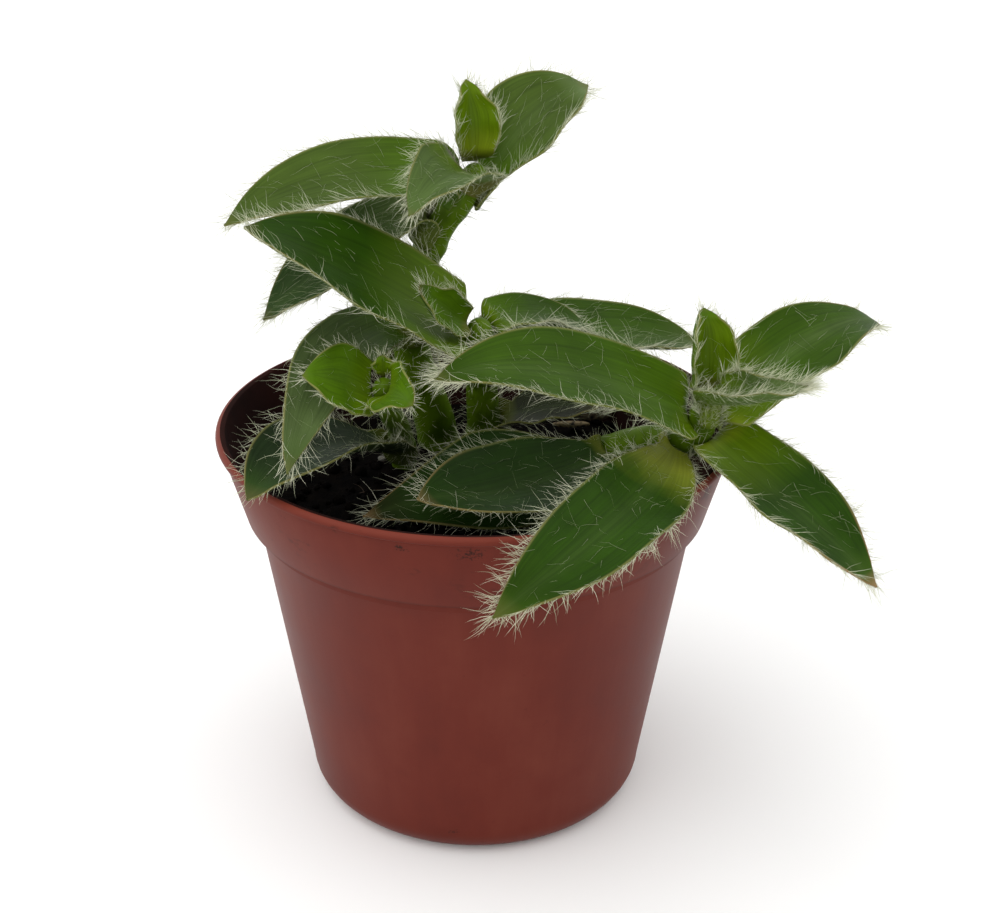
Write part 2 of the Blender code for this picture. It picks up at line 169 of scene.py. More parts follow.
# Colours of the plant, as a screen shows them
greens = {
    "paleLime": (150, 158, 52),
    "lime": (112, 130, 20),
    "yellowGreen": (84, 110, 6),
    "freshGreen": (66, 96, 5),
    "leafGreen": (48, 74, 6),
    "deepGreen": (35, 62, 3),
    "bottleGreen": (30, 54, 8),
    # the next green is painted sheen: the grey of the sky's reflection on the waxy leaves, put into their
    # green
    "sheenGreen": (64, 84, 27),
    "greyGreen": (74, 94, 46),
    "paleGrey": (84, 102, 58),
    "blueGreen": (44, 64, 28),
    "shadeGrey": (36, 50, 28),
    "olive": (56, 56, 24),
    "darkOlive": (34, 40, 16),
    "paleMargin": (128, 130, 76),
    "tan": (138, 112, 76),
    "sheath": (84, 92, 24),
    "oldSheath": (104, 96, 42),
}
greens = {name: screenColour(*colour) for name, colour in greens.items()}


# The stems, a little thicker below each leaf and round at the top
stemLook = {
    "green": (84, 112, 12),
    "shade": (60, 84, 10),
    "blush": (98, 92, 30),
    "rings": 90,
    "axisReach": 0.0005,  # over how much of its line its direction is taken
    "swelling": 0.00022,  # below each leaf
    "swellingReach": 0.0009,
    "dome": 1.9,  # the height of the round top, in radii
    "domeShare": 0.97,  # how far the top closes
    "bare": 0.009,  # the part in the peat, which has no hairs
    "topHairs": 40,
    "topReach": 0.0022,
}

# The lines of the stems, on which the leaves stand, as the CAD has them
stemGrowth = {
    "tall_stem": dict(
        points=[(-0.0048, 0.0129, 0.0260), (-0.0044, 0.0119, 0.0360), (-0.0065, 0.0090, 0.0450),
                (-0.0072, 0.0080, 0.0500), (-0.0064, 0.0065, 0.0560), (-0.0044, 0.0055, 0.0615),
                (-0.0016, 0.0050, 0.0660), (0.0006, 0.0044, 0.0695)],
        radii=(0.0026, 0.0013), length=0.0469),
    "middle_stem": dict(
        points=[(0.0015, 0.0095, 0.0260), (0.0010, 0.0087, 0.0365), (0.0006, 0.0040, 0.0455),
                (0.0004, 0.0, 0.0510), (0.0004, -0.0020, 0.0550), (0.0006, -0.0028, 0.0575)],
        radii=(0.0022, 0.0014), length=0.0322),
    "right_stem": dict(
        points=[(0.0125, 0.0030, 0.0260), (0.0130, 0.0020, 0.0360), (0.0150, 0.0, 0.0396),
                (0.0184, -0.0034, 0.0423), (0.0214, -0.0068, 0.0438), (0.0226, -0.0084, 0.0458),
                (0.0230, -0.0090, 0.0482), (0.0231, -0.0091, 0.0510)],
        radii=(0.0022, 0.0012), length=0.0325),
    "side_stem": dict(
        points=[(-0.0080, 0.0070, 0.0260), (-0.0080, 0.0060, 0.0360), (-0.0083, 0.0005, 0.0420),
                (-0.0088, -0.0050, 0.0460), (-0.0090, -0.0098, 0.0500), (-0.0091, -0.0130, 0.0529)],
        radii=(0.0015, 0.0010), length=0.0352),
}


def smoothLine(points, steps=10):
    corners = np.array(points, dtype=float)
    corners = np.vstack([2 * corners[0] - corners[1], corners, 2 * corners[-1] - corners[-2]])
    line = []
    for a, b, c, d in zip(corners, corners[1:], corners[2:], corners[3:]):
        for step in range(steps):
            t = step / steps
            line.append((2 * b + (c - a) * t + (2 * a - 5 * b + 4 * c - d) * t ** 2
                         + (3 * b - a - 3 * c + d) * t ** 3) / 2)
    line.append(corners[-2])
    return np.array(line)


def layStem(growth):
    line = smoothLine(growth["points"])
    reach = np.concatenate([[0], np.cumsum(np.linalg.norm(np.diff(line, axis=0), axis=1))])
    return dict(line=line, reach=reach, radii=growth["radii"], length=growth["length"])


def stemPoint(stem, distance):
    distance = min(max(distance, 0), stem["length"])
    return np.array([np.interp(distance, stem["reach"], stem["line"][:, axis]) for axis in range(3)])


def stemAxis(stem, distance):
    reach = stemLook["axisReach"]
    return unit(stemPoint(stem, distance + reach) - stemPoint(stem, distance - reach))


def stemRadius(stem, distance):
    bottom, top = stem["radii"]
    return bottom + (top - bottom) * distance / stem["length"]


stems = {name: layStem(growth) for name, growth in stemGrowth.items()}


# Where each leaf grows, as the CAD has it, then its looks.
# clasp, base, body and tip are its greens on the way out, and reach is how far its base's green runs into
# its body's. rib is how pale the band along its rib is, brown how far its tip has dried, gloss and shine
# its roughness and its highlights. fringe, fuzz, wool and tuft are the hairs on its margins, its face,
# its back and its tip.
leafGrowth = {
    "top_left_leaf": dict(
        stem="tall_stem", node=0.0413, heading=-177, rise=3, length=0.0225, width=0.0107, droop=28,
        swing=19, roll=-21, fold=8, cup=22, neck=0.0019, base=0.9, blunt=1.7),
    "top_right_leaf": dict(
        stem="tall_stem", node=0.0424, heading=21, rise=59, length=0.0140, width=0.0114, droop=50,
        swing=6, roll=21, fold=8, cup=22, wrap=50, neck=0.0026, base=0.35, blunt=2.3),
    "top_front_leaf": dict(
        stem="tall_stem", node=0.0441, heading=-110, rise=25, length=0.0111, width=0.0084, droop=77,
        swing=-29, roll=-18, fold=14, cup=30, wrap=55, sheath=0.0005, neck=0.0017, base=0.95, blunt=1.3),
    "top_young_leaf": dict(
        stem="tall_stem", node=0.0460, heading=143, rise=88, length=0.0071, width=0.0073, droop=7,
        swing=-3, roll=-30, fold=25, cup=45, wrap=40, sheath=0.0004, neck=0.0008, base=0.75, blunt=1.6),
    "tall_stem_left_leaf": dict(
        stem="tall_stem", node=0.0364, heading=-182, rise=-30, length=0.0199, width=0.0091, droop=11,
        swing=14, roll=-33, fold=12, cup=30, wrap=90, sheath=0.0020, neck=0.0013, base=0.7),
    "tall_stem_drooping_leaf": dict(
        stem="tall_stem", node=0.0246, heading=-122, rise=10, length=0.0283, width=0.0076, droop=50,
        swing=24, roll=-29, fold=8, cup=22, wrap=90, sheath=0.0020, neck=0.0011, base=0.8, blunt=1.8),
    "tall_stem_back_leaf": dict(
        stem="tall_stem", node=0.0190, heading=105, rise=14, length=0.0160, width=0.0095, droop=45,
        fold=8, cup=22, wrap=90, sheath=0.0015, base=0.45),
    "middle_left_leaf": dict(
        stem="middle_stem", node=0.0286, heading=-160, rise=36, length=0.0258, width=0.0143, droop=6,
        swing=6, roll=-28, fold=8, cup=22, wrap=55, base=0.9),
    "middle_young_leaf": dict(
        stem="middle_stem", node=0.0316, heading=-145, rise=36, length=0.0073, width=0.0054, droop=-20,
        swing=12, roll=-75, fold=20, cup=40, wrap=30, sheath=0.0005, neck=0.0013, base=0.8, blunt=1.4),
    "middle_right_leaf": dict(
        stem="middle_stem", node=0.0298, heading=32, rise=-3, length=0.0113, width=0.0082, droop=30,
        swing=-22, roll=5, fold=8, wrap=50, sheath=0.0005, neck=0.0008, base=0.9, blunt=1.6),
    "middle_back_leaf": dict(
        stem="middle_stem", node=0.0236, heading=32, rise=-7, length=0.0238, width=0.0125, droop=4,
        swing=-18, roll=8, fold=8, cup=22, wrap=100, sheath=0.0020, neck=0.0018, base=0.7, blunt=2.8),
    "middle_low_leaf": dict(
        stem="middle_stem", node=0.0120, heading=-6, rise=18, length=0.0095, width=0.0090, droop=20,
        roll=10, fold=8, cup=22, wrap=90, sheath=0.0015),
    "right_shoot_left_leaf": dict(
        stem="right_stem", node=0.0276, heading=-168, rise=30, length=0.0284, width=0.0111, droop=29,
        swing=25, roll=-25, fold=8, cup=22, wrap=40, neck=0.0017, base=0.9, blunt=1.8),
    "right_shoot_young_leaf": dict(
        stem="right_stem", node=0.0323, heading=96, rise=87, length=0.0070, width=0.0080, droop=19,
        swing=-2, roll=14, fold=30, cup=50, wrap=40, sheath=0.0005, neck=0.0009, base=0.9, blunt=2.1),
    "right_shoot_back_leaf": dict(
        stem="right_stem", node=0.0286, heading=28, rise=32, length=0.0265, width=0.0093, droop=60,
        swing=25, roll=25, fold=8, cup=22, wrap=40, neck=0.0008, base=0.9, blunt=1.3),
    "right_shoot_outer_leaf": dict(
        stem="right_stem", node=0.0264, heading=-43, rise=-23, length=0.0211, width=0.0116, droop=7,
        swing=4, roll=1, fold=8, cup=22, wrap=40, neck=0.0014, base=0.85, blunt=1.8),
    "right_shoot_front_leaf": dict(
        stem="right_stem", node=0.0236, heading=-103, rise=6, length=0.0360, width=0.0097, droop=20,
        swing=-37, roll=-19, fold=8, cup=22, wrap=55, sheath=0.0004, neck=0.0026, base=0.35, blunt=2.8),
    "right_shoot_folded_leaf": dict(
        stem="right_stem", node=0.0297, heading=-76, rise=22, length=0.0110, width=0.0058, droop=4,
        swing=80, roll=24, fold=30, cup=45, wrap=35, sheath=0.0014, neck=0.0028, base=0.95, blunt=1.2),
    "front_upper_leaf": dict(
        stem="right_stem", node=0.0138, heading=-129, rise=0, length=0.0267, width=0.0126, droop=-20,
        swing=-15, roll=-14, fold=8, cup=20, wrap=60, neck=0.0012, base=0.4, blunt=2.8),
    "front_lower_leaf": dict(
        stem="right_stem", node=0.0106, heading=-143, rise=4, length=0.0267, width=0.0128, droop=3,
        swing=-7, roll=-32, fold=5, cup=12, wrap=50, sheath=0.0008, neck=0.0013, base=0.4, blunt=1.2),
    "side_shoot_rim_leaf": dict(
        stem="side_stem", node=0.0118, heading=-118, rise=28, length=0.0268, width=0.0114, droop=38,
        roll=-4, wrap=90, sheath=0.0015, neck=0.0024, base=0.55, blunt=2.6),
    "side_shoot_left_leaf": dict(
        stem="side_stem", node=0.0327, heading=-156, rise=36, length=0.0068, width=0.0082, droop=30,
        swing=-8, roll=-39, fold=6, cup=20, wrap=40, sheath=0.0004, neck=0.0009, base=0.85, blunt=1.6),
    "side_shoot_right_leaf": dict(
        stem="side_stem", node=0.0347, heading=-70, rise=30, length=0.0055, width=0.0064, droop=45,
        swing=10, roll=50, fold=14, cup=38, wrap=60, sheath=0.0005, neck=0.0010, base=0.95, blunt=1.6),
    "side_shoot_bud": dict(
        stem="side_stem", node=0.0338, heading=90, rise=110, length=0.0019, width=0.0024, fold=20, cup=35,
        wrap=20, sheath=0.0002, neck=0.0006, base=0.75),
}

leafLooks = {
    "top_left_leaf": dict(
        slot="dark_leaf", clasp="freshGreen", base="freshGreen", body="sheenGreen", tip="sheenGreen",
        rib=0.15, fringe=1.1, fuzz=0.7),
    "top_right_leaf": dict(
        slot="dark_leaf", base="freshGreen", body="sheenGreen", tip="paleGrey", rib=0.4, fringe=1.4),
    "top_front_leaf": dict(
        slot="grey_leaf", clasp="oldSheath", base="yellowGreen", body="greyGreen", tip="greyGreen",
        fringe=2.2, fuzz=2.0, wool=2.5),
    "top_young_leaf": dict(
        slot="bright_leaf", base="lime", body="yellowGreen", tip="yellowGreen", fringe=2.4, fuzz=0.5,
        wool=4.0),
    "tall_stem_left_leaf": dict(
        slot="grey_leaf", base="paleGrey", body="blueGreen", tip="blueGreen",
        fringe=1.3, fuzz=2.5),
    "tall_stem_drooping_leaf": dict(
        slot="grey_leaf", base="freshGreen", body="paleGrey", tip="greyGreen", rib=0.3, fringe=0.8),
    "tall_stem_back_leaf": dict(
        slot="dark_leaf", base="freshGreen", body="leafGreen", tip="deepGreen"),
    "middle_left_leaf": dict(
        slot="dark_leaf", clasp="yellowGreen", base="yellowGreen", body="deepGreen", tip="deepGreen",
        reach=0.4, rib=0.1, fringe=1.2, fuzz=0.4, gloss=0.4),
    "middle_young_leaf": dict(
        slot="bright_leaf", base="freshGreen", body="freshGreen", tip="leafGreen", fringe=1.6, wool=2.5),
    "middle_right_leaf": dict(
        slot="bright_leaf", clasp="yellowGreen", base="freshGreen", body="leafGreen", tip="leafGreen",
        fringe=1.4, fuzz=0.6, wool=4.0),
    "middle_back_leaf": dict(
        slot="grey_leaf", base="leafGreen", body="leafGreen", tip="sheenGreen", rib=0.3),
    "middle_low_leaf": dict(
        slot="grey_leaf", base="darkOlive", body="darkOlive", tip="olive", brown=0.3, fringe=0.6),
    "right_shoot_left_leaf": dict(
        slot="dark_leaf", clasp="yellowGreen", base="freshGreen", body="leafGreen", tip="leafGreen",
        rib=0.3, fringe=1.2, fuzz=0.6, tuft=8.0, wool=2.0),
    "right_shoot_young_leaf": dict(
        slot="bright_leaf", base="yellowGreen", body="yellowGreen", tip="freshGreen", fringe=1.8),
    "right_shoot_back_leaf": dict(
        slot="dark_leaf", clasp="lime", base="yellowGreen", body="leafGreen", tip="leafGreen", rib=0.6,
        brown=0.7, fuzz=0.7, wool=2.0),
    "right_shoot_outer_leaf": dict(
        slot="dark_leaf", clasp="lime", base="yellowGreen", body="deepGreen", tip="leafGreen", rib=0.2,
        brown=1.0, fringe=1.4, fuzz=0.6, wool=2.0),
    "right_shoot_front_leaf": dict(
        slot="dark_leaf", clasp="paleLime", base="paleLime", body="deepGreen", tip="leafGreen",
        reach=0.25, rib=0.2, fringe=1.6, fuzz=0.6, wool=2.0),
    "right_shoot_folded_leaf": dict(
        slot="grey_leaf", clasp="lime", base="yellowGreen", body="greyGreen", tip="paleGrey", fringe=3.0,
        tuft=8.0, wool=9.0, fuzz=9.0),
    "front_upper_leaf": dict(
        slot="dark_leaf", base="bottleGreen", body="bottleGreen", tip="bottleGreen", brown=0.5, fringe=0.7,
        fuzz=0.6),
    "front_lower_leaf": dict(
        slot="grey_leaf", base="bottleGreen", body="bottleGreen", tip="darkOlive", brown=0.6, fringe=0.6,
        fuzz=0.6),
    "side_shoot_rim_leaf": dict(
        slot="grey_leaf", base="shadeGrey", body="shadeGrey", tip="blueGreen", rib=0.1, fringe=0.7,
        shine=0.02),
    "side_shoot_left_leaf": dict(
        slot="bright_leaf", clasp="yellowGreen", base="yellowGreen", body="freshGreen", tip="freshGreen",
        rib=0.1, fuzz=0.5),
    "side_shoot_right_leaf": dict(
        slot="bright_leaf", clasp="yellowGreen", base="yellowGreen", body="freshGreen", tip="freshGreen",
        fringe=0.8, fuzz=0.5),
    "side_shoot_bud": dict(
        slot="bright_leaf", base="yellowGreen", body="yellowGreen", tip="freshGreen"),
}
plainLook = dict(clasp="sheath", reach=0.28, rib=0.2, brown=0.2, gloss=0.44, shine=0.06, fringe=1.0,
                 fuzz=1.0, wool=1.0, tuft=1.0)

leafMake = {
    "clearance": 0.0003,
    "edgeThickness": 0.0006,  # of the CAD, for the clasp's radius
    "ribThickness": 0.0009,
    "marginShare": 0.2,  # how much of the thickness is left at the margin
    "thinning": 1.6,  # how late a leaf thins on the way from its rib to its margin
    "tipThinning": 0.12,  # the share of its blade that thins towards its tip
    "tipHalf": 0.00012,
    "flatTip": 0.0018,
    "widestAt": 0.42,
    "sheathRows": 4,
    "neckRows": 8,
    "bladeRows": 44,
    "rowParts": 6,  # steps of its line from row to row
    "crowding": 1.2,  # rows lie closer towards the tip
    "drooping": 1.3,  # how late it droops
    "columns": 20,
    "fineColumns": 81,  # on which its cupped and folded section is added up
    "creaseWidth": 0.08,  # how softly the blade folds at its rib
    "wave": 0.00022,  # how far the margin waves
    "beats": (1.6, 2.6),  # how often it waves
}


def pointing(heading, rise):
    heading, rise = math.radians(heading), math.radians(rise)
    return Vector((math.cos(rise) * math.cos(heading), math.cos(rise) * math.sin(heading), math.sin(rise)))


def upperFace(heading, rise, roll):
    return Quaternion(pointing(heading, rise), math.radians(roll)) @ pointing(heading, rise + 90)


def frameTurn(along, up):
    return Matrix((along, up, along.cross(up))).transposed().to_quaternion()


def ease(share):
    return share * share * (3 - 2 * share)


def bladeOutline(share, base, blunt):
    widest = leafMake["widestAt"]
    if share < widest:
        return base + (1 - base) * math.sin(share / widest * math.pi / 2)
    return 1 - ((share - widest) / (1 - widest)) ** blunt


# The leaf's rib from its clasp to its tip: point, along, up, half width, bend, fold, share of the blade
def ribRows(stem, node, heading, rise, length, width, droop=0, swing=0, roll=0, fold=10, cup=25, wrap=70,
            sheath=0.0010, neck=0.0016, base=0.5, blunt=2.0):
    clasp = stemRadius(stem, node) + leafMake["clearance"] + leafMake["edgeThickness"] / 2
    wrap, cup, fold = math.radians(wrap), math.radians(cup), math.radians(fold)
    rows = []
    for distance in np.linspace(node, node + sheath, leafMake["sheathRows"]):
        centre, axis = Vector(stemPoint(stem, distance)), Vector(stemAxis(stem, distance))
        outward = pointing(heading, 0)
        outward = (outward - outward.dot(axis) * axis).normalized()
        rows.append((centre + outward * clasp, axis, -outward, wrap * clasp, wrap, 0, 0))
    point = rows[-1][0]
    turnFrom = frameTurn(axis, -outward)
    turnTo = frameTurn(pointing(heading, rise), upperFace(heading, rise, roll))
    steps = leafMake["neckRows"]
    for step in range(1, steps + 1):
        along = turnFrom.slerp(turnTo, ease((step - 0.5) / steps)).to_matrix().col[0]
        point = point + along * neck / steps
        share = ease(step / steps)
        turned = turnFrom.slerp(turnTo, share).to_matrix()
        half = wrap * clasp + (width / 2 * base - wrap * clasp) * share
        rows.append((point, turned.col[0], turned.col[1], half, wrap + (cup - wrap) * share,
                     fold * share, 0))
    before = 0
    steps, parts, late = leafMake["bladeRows"], leafMake["rowParts"], leafMake["drooping"]
    for step in range(1, steps + 1):
        share = 1 - (1 - step / steps) ** leafMake["crowding"]
        for part in range(parts):
            middle = before + (share - before) * (part + 0.5) / parts
            point = point + pointing(heading + swing * middle, rise - droop * middle ** late) \
                * length * (share - before) / parts
        before = share
        here, tilt = heading + swing * share, rise - droop * share ** late
        half = max(width / 2 * bladeOutline(share, base, blunt), leafMake["tipHalf"])
        closing = min(1, half / leafMake["flatTip"])
        rows.append((point, pointing(here, tilt), upperFace(here, tilt, roll), half, cup * closing,
                     fold * closing, share))
    return rows


# The leaf's middle surface as grids of rows and columns, with its directions at each point.
# Its section is drawn by a line that turns by the fold at the rib and by the bend on its way out.
def bladeSurface(rows, draw):
    point, along, up = (np.array([tuple(row[i]) for row in rows]) for i in range(3))
    half, bend, fold, share = (np.array([row[i] for row in rows]) for i in range(3, 7))
    ticks = np.linspace(-1, 1, leafMake["columns"] + 1)
    columns = 0.5 * ticks + 0.5 * np.sin(ticks * math.pi / 2)  # closer together at the margins
    fine = np.linspace(0, 1, leafMake["fineColumns"])
    slope = fold[:, None] * (1 - np.exp(-fine / leafMake["creaseWidth"])) + bend[:, None] * fine
    step = fine[1]
    out = np.cumsum(np.cos(slope), axis=1) * step - np.cos(slope) * step
    lift = np.cumsum(np.sin(slope), axis=1) * step - np.sin(slope) * step
    reach = np.abs(columns)
    side = np.sign(columns)

    def pick(values):
        return np.array([np.interp(reach, fine, row) for row in values])

    out, lift, slope = pick(out) * half[:, None], pick(lift) * half[:, None], pick(slope)
    across = np.cross(along, up)
    cosine, sine = np.cos(slope)[..., None], np.sin(slope)[..., None]
    sided = across[:, None, :] * side[None, :, None]
    normal = up[:, None, :] * cosine - sided * sine
    outward = np.where(side[None, :, None] == 0, across[:, None, :], sided) * cosine + up[:, None, :] * sine
    middle = point[:, None, :] + sided * out[..., None] + up[:, None, :] * lift[..., None]
    phases = draw.uniform(0, math.tau, 3)
    beat = draw.uniform(*leafMake["beats"])
    wave = np.sin(share[:, None] * beat * math.tau + np.where(side > 0, phases[0], phases[1])[None, :])
    swell = np.sin(share * math.pi)[:, None] * reach[None, :] ** 2
    middle = middle + normal * (wave * swell * leafMake["wave"])[..., None]
    reachAlong = np.concatenate([[0], np.cumsum(np.linalg.norm(np.diff(point, axis=0), axis=1))])
    return dict(middle=middle, normal=normal, outward=outward, columns=columns, half=half, share=share,
                along=np.repeat(along[:, None, :], len(columns), 1), reachAlong=reachAlong)


leafTexture = {
    "patches": 170,  # scales of noise
    "grain": 2600,
    "veins": (34, 2.2, 1),  # across the blade and along it
    "shift": 0.2,  # how far the patches move the borders between its greens
    "backPale": 0.4,
    "backRoughness": 0.6,
    "roughnessRange": 0.18,
    "bump": (0.35, 0.00012),
}


# The leaf's colours run from its clasp over its base and body to its tip
def leafSkin(name, look, start, underneath):
    texture = leafTexture
    material, tree, shader = startMaterial(name)
    uv = addNode(tree, "UVMap", uv_map="blade").outputs[0]
    split = addNode(tree, "SeparateXYZ", {0: uv})
    across, along = split.outputs[0], split.outputs[1]
    fromRib = calculate(tree, "ABSOLUTE", multiply(tree, across, 2.0, -1.0))
    place = objectPlace(tree)
    patches = addNoise(tree, place, texture["patches"], 2)
    shift = texture["shift"]
    shifted = calculate(tree, "ADD", along, multiply(tree, patches, shift, -shift / 2))
    clasp, base, body, tip = (greens[look[key]] for key in ("clasp", "base", "body", "tip"))
    colour = addRamp(tree, shifted, [(start * 0.6, clasp), (start * 1.1, base),
                                     (start * 1.1 + look["reach"], body), (0.8, body), (0.95, tip)])
    # the pale band along the rib, partly a paler rib and partly painted sheen, the fine veins beside it and
    # the pale margin
    band = multiply(tree, addRamp(tree, fromRib, [(0.0, 1.0), (0.08, 0.7), (0.4, 0.0)]), look["rib"])
    colour = mixColours(tree, band, colour, greens["greyGreen"])
    stretched = addNode(tree, "Mapping", {0: uv, 3: texture["veins"]}).outputs[0]
    veins = addNoise(tree, stretched, 1.0, 2, 0.6)
    colour = mottle(tree, mottle(tree, colour, veins, 0.8, 1.2), patches, 0.8, 1.15)
    edge = addRamp(tree, fromRib, [(0.95, 0.0), (0.99, 0.6)])
    colour = mixColours(tree, edge, colour, greens["paleMargin"])
    # the dried tip, which reaches down both margins
    dry = addRamp(tree, along, [(0.93, 0.0), (0.995, 1.0)])
    besideTip = multiply(tree, addRamp(tree, fromRib, [(0.92, 0.0), (0.985, 1.0)]),
                         addRamp(tree, along, [(0.6, 0.0), (0.9, 1.0)]))
    dry = multiply(tree, calculate(tree, "MAXIMUM", dry, besideTip), look["brown"])
    colour = mixColours(tree, dry, colour, greens["tan"])
    if underneath:
        colour = mixColours(tree, texture["backPale"], colour, greens["greyGreen"])
    grain = addNoise(tree, place, texture["grain"], 2)
    roughness = texture["backRoughness"] if underneath else look["gloss"]
    rougher = texture["roughnessRange"]
    finishSkin(tree, shader, colour, multiply(tree, grain, rougher, roughness - rougher / 2), look["shine"])
    addBump(tree, shader, multiply(tree, veins, 0.7, multiply(tree, grain, 0.5)), *texture["bump"])
    return material


def makeLeaf(name, growth, look, draw):
    growth = dict(growth)
    rows = ribRows(stems[growth.pop("stem")], **growth)
    surface = bladeSurface(rows, draw)
    columns = leafMake["columns"]
    clearSelection()
    bpy.ops.mesh.primitive_grid_add(x_subdivisions=columns, y_subdivisions=len(rows) - 1, size=0.01)
    leaf = bpy.context.object
    leaf.name = name + "_blade"
    leaf.data.name = leaf.name
    leaf.data.vertices.foreach_set("co", surface["middle"].reshape(-1))
    wayOut = surface["reachAlong"] / surface["reachAlong"][-1]
    grid = np.stack(np.meshgrid((surface["columns"] + 1) / 2, wayOut), -1)
    corners = np.empty(len(leaf.data.loops), dtype=np.int32)
    leaf.data.loops.foreach_get("vertex_index", corners)
    blade = leaf.data.uv_layers[0]
    blade.name = "blade"
    blade.data.foreach_set("uv", grid.reshape(-1, 2)[corners].reshape(-1))
    flesh = leaf.vertex_groups.new(name="flesh")
    towardsTip = np.clip((1 - surface["share"]) / leafMake["tipThinning"], 0, 1)
    weights = (1 - np.abs(surface["columns"]) ** leafMake["thinning"])[None, :] * towardsTip[:, None]
    for index, weight in enumerate(weights.reshape(-1)):
        flesh.add([index], float(weight), "REPLACE")
    leaf.data.update()
    start = wayOut[leafMake["sheathRows"] + leafMake["neckRows"]]
    cover(leaf, leafSkin(name + "_face", look, start, False), leafSkin(name + "_back", look, start, True))
    shell = leaf.modifiers.new("flesh", "SOLIDIFY")
    shell.thickness = leafMake["ribThickness"]
    shell.offset = 0
    shell.vertex_group = "flesh"
    shell.thickness_vertex_group = leafMake["marginShare"]
    shell.material_offset = 1
    bpy.ops.object.modifier_apply(modifier="flesh")
    bpy.ops.object.shade_smooth()
    settle(leaf, look["slot"], name)
    return surface


# Each hair is a thin three-sided thread of real mesh
hairMake = {
    "steps": 5,
    "taper": 0.75,  # how much of its width it has lost before its point
    "wander": 0.07,
    "young": (0.55, 0.45),  # the share of their length on the smallest leaf, and the rest that it gains
    "fullLeaf": 0.02,  # the leaf's length from which on its hairs are full grown
    "clump": 0.0007,  # how far along the margin hairs lean together
    "matted": 0.35,  # the share of the fringe that lies along the margin
    "mattedLean": (82, 8),
    "lean": (46, 20),  # degrees from outwards to the tip: the clumps' mean, and how far they differ
    "leanStray": 14,
    "lift": (0.05, 0.35),  # from the blade
    "liftStray": 0.28,
    "faceReach": 0.97,  # how close to the margin the hairs of the face grow
    "depth": (0.2, 0.28),  # half the leaf's thickness at its margin, and what it gains to its rib
}

# How many hairs of a kind stand on a metre or a square metre, and how long, wide and pale they are.
# Most lengths are the shortest and the longest, but the fringe's are the shortest and what is added.
hairKinds = {
    "fringe": dict(perMetre=7200, length=(0.0008, 0.0027), width=(0.00003, 0.000052), tint=(0.3, 1)),
    "face": dict(perArea=0.5e6, length=(0.0012, 0.0032), width=(0.000018, 0.000032), tint=(0, 0.45)),
    "back": dict(perArea=0.6e6, length=(0.0007, 0.0018), width=(0.000018, 0.000032), tint=(0, 0.45)),
    "clasp": dict(perArea=4e6, length=(0.0010, 0.0024), width=(0.00003, 0.00005), tint=(0.1, 0.9)),
    "tuft": dict(count=16, start=0.86, length=(0.0010, 0.0034), width=(0.00003, 0.00006), tint=(0.5, 1)),
    "stem": dict(perArea=1.0e6, length=(0.0008, 0.0020), width=(0.00003, 0.00006), tint=(0.2, 0.9)),
    "fibre": dict(length=(0.001, 0.0035), width=(0.00006, 0.00016), tint=(0, 1)),
}


# A group of threads of one kind. The lengths, unless they are given, the widths and the tints are drawn.
def threads(kind, roots, starts, bends, draw, small=1, lengths=None):
    kind, count = hairKinds[kind], len(roots)
    if lengths is None:
        lengths = draw.uniform(*kind["length"], count) * small
    widths, tints = draw.uniform(*kind["width"], count), draw.uniform(*kind["tint"], count)
    return roots, starts, bends, lengths, widths, tints


# Threads from their roots: each starts one way and is bent on its way to its end
def threadMesh(name, roots, starts, bends, lengths, widths, tints, draw):
    steps, count = hairMake["steps"], len(roots)
    side = unit(np.cross(starts, draw.normal(size=(count, 3))))
    other = np.cross(starts, side)
    turns = np.arange(3) * math.tau / 3
    ring = side[:, None] * np.cos(turns)[None, :, None] + other[:, None] * np.sin(turns)[None, :, None]
    point, rings = roots, []
    for step in range(steps):
        radius = widths / 2 * (1 - hairMake["taper"] * (step / steps) ** 1.5)
        rings.append(point[:, None] + ring * radius[:, None, None])
        wander = draw.normal(size=(count, 3)) * hairMake["wander"]
        point = point + unit(starts + bends * ((step + 0.5) / steps) + wander) * (lengths / steps)[:, None]
    points = np.concatenate(rings + [point[:, None]], axis=1)
    perHair = points.shape[1]
    faces = [(0, 2, 1)]
    for step in range(steps - 1):
        for turn in range(3):
            a, b = 3 * step + turn, 3 * step + (turn + 1) % 3
            faces.append((a, b, b + 3, a + 3))
    last = 3 * (steps - 1)
    for turn in range(3):
        faces.append((last + turn, last + (turn + 1) % 3, perHair - 1))
    corners = np.array([corner for face in faces for corner in face])
    sizes = np.array([len(face) for face in faces])
    allCorners = (corners[None] + np.arange(count)[:, None] * perHair).reshape(-1)
    allStarts = np.concatenate([[0], np.cumsum(np.tile(sizes, count))[:-1]])
    mesh = bpy.data.meshes.new(name)
    mesh.vertices.add(count * perHair)
    mesh.vertices.foreach_set("co", points.reshape(-1))
    mesh.loops.add(len(allCorners))
    mesh.loops.foreach_set("vertex_index", allCorners.astype(np.int32))
    mesh.polygons.add(count * len(faces))
    mesh.polygons.foreach_set("loop_start", allStarts.astype(np.int32))
    mesh.update(calc_edges=True)
    tint = mesh.attributes.new("tint", "FLOAT", "POINT")
    tint.data.foreach_set("value", np.repeat(tints, perHair))
    mesh.shade_smooth()
    return mesh


def hairSkin(name, root, end):
    material, tree, shader = startMaterial(name)
    tint = addNode(tree, "Attribute", attribute_name="tint").outputs["Fac"]
    finishSkin(tree, shader, addRamp(tree, tint, [(0.0, root), (1.0, end)]), 0.45, 0.4)
    return material


def fromGrid(grid, rows, columns):
    rows = np.clip(rows, 0, grid.shape[0] - 1.001)
    columns = np.clip(columns, 0, grid.shape[1] - 1.001)
    row, column = rows.astype(int), columns.astype(int)
    down, over = (rows - row)[:, None], (columns - column)[:, None]
    return ((grid[row, column] * (1 - down) + grid[row + 1, column] * down) * (1 - over)
            + (grid[row, column + 1] * (1 - down) + grid[row + 1, column + 1] * down) * over)


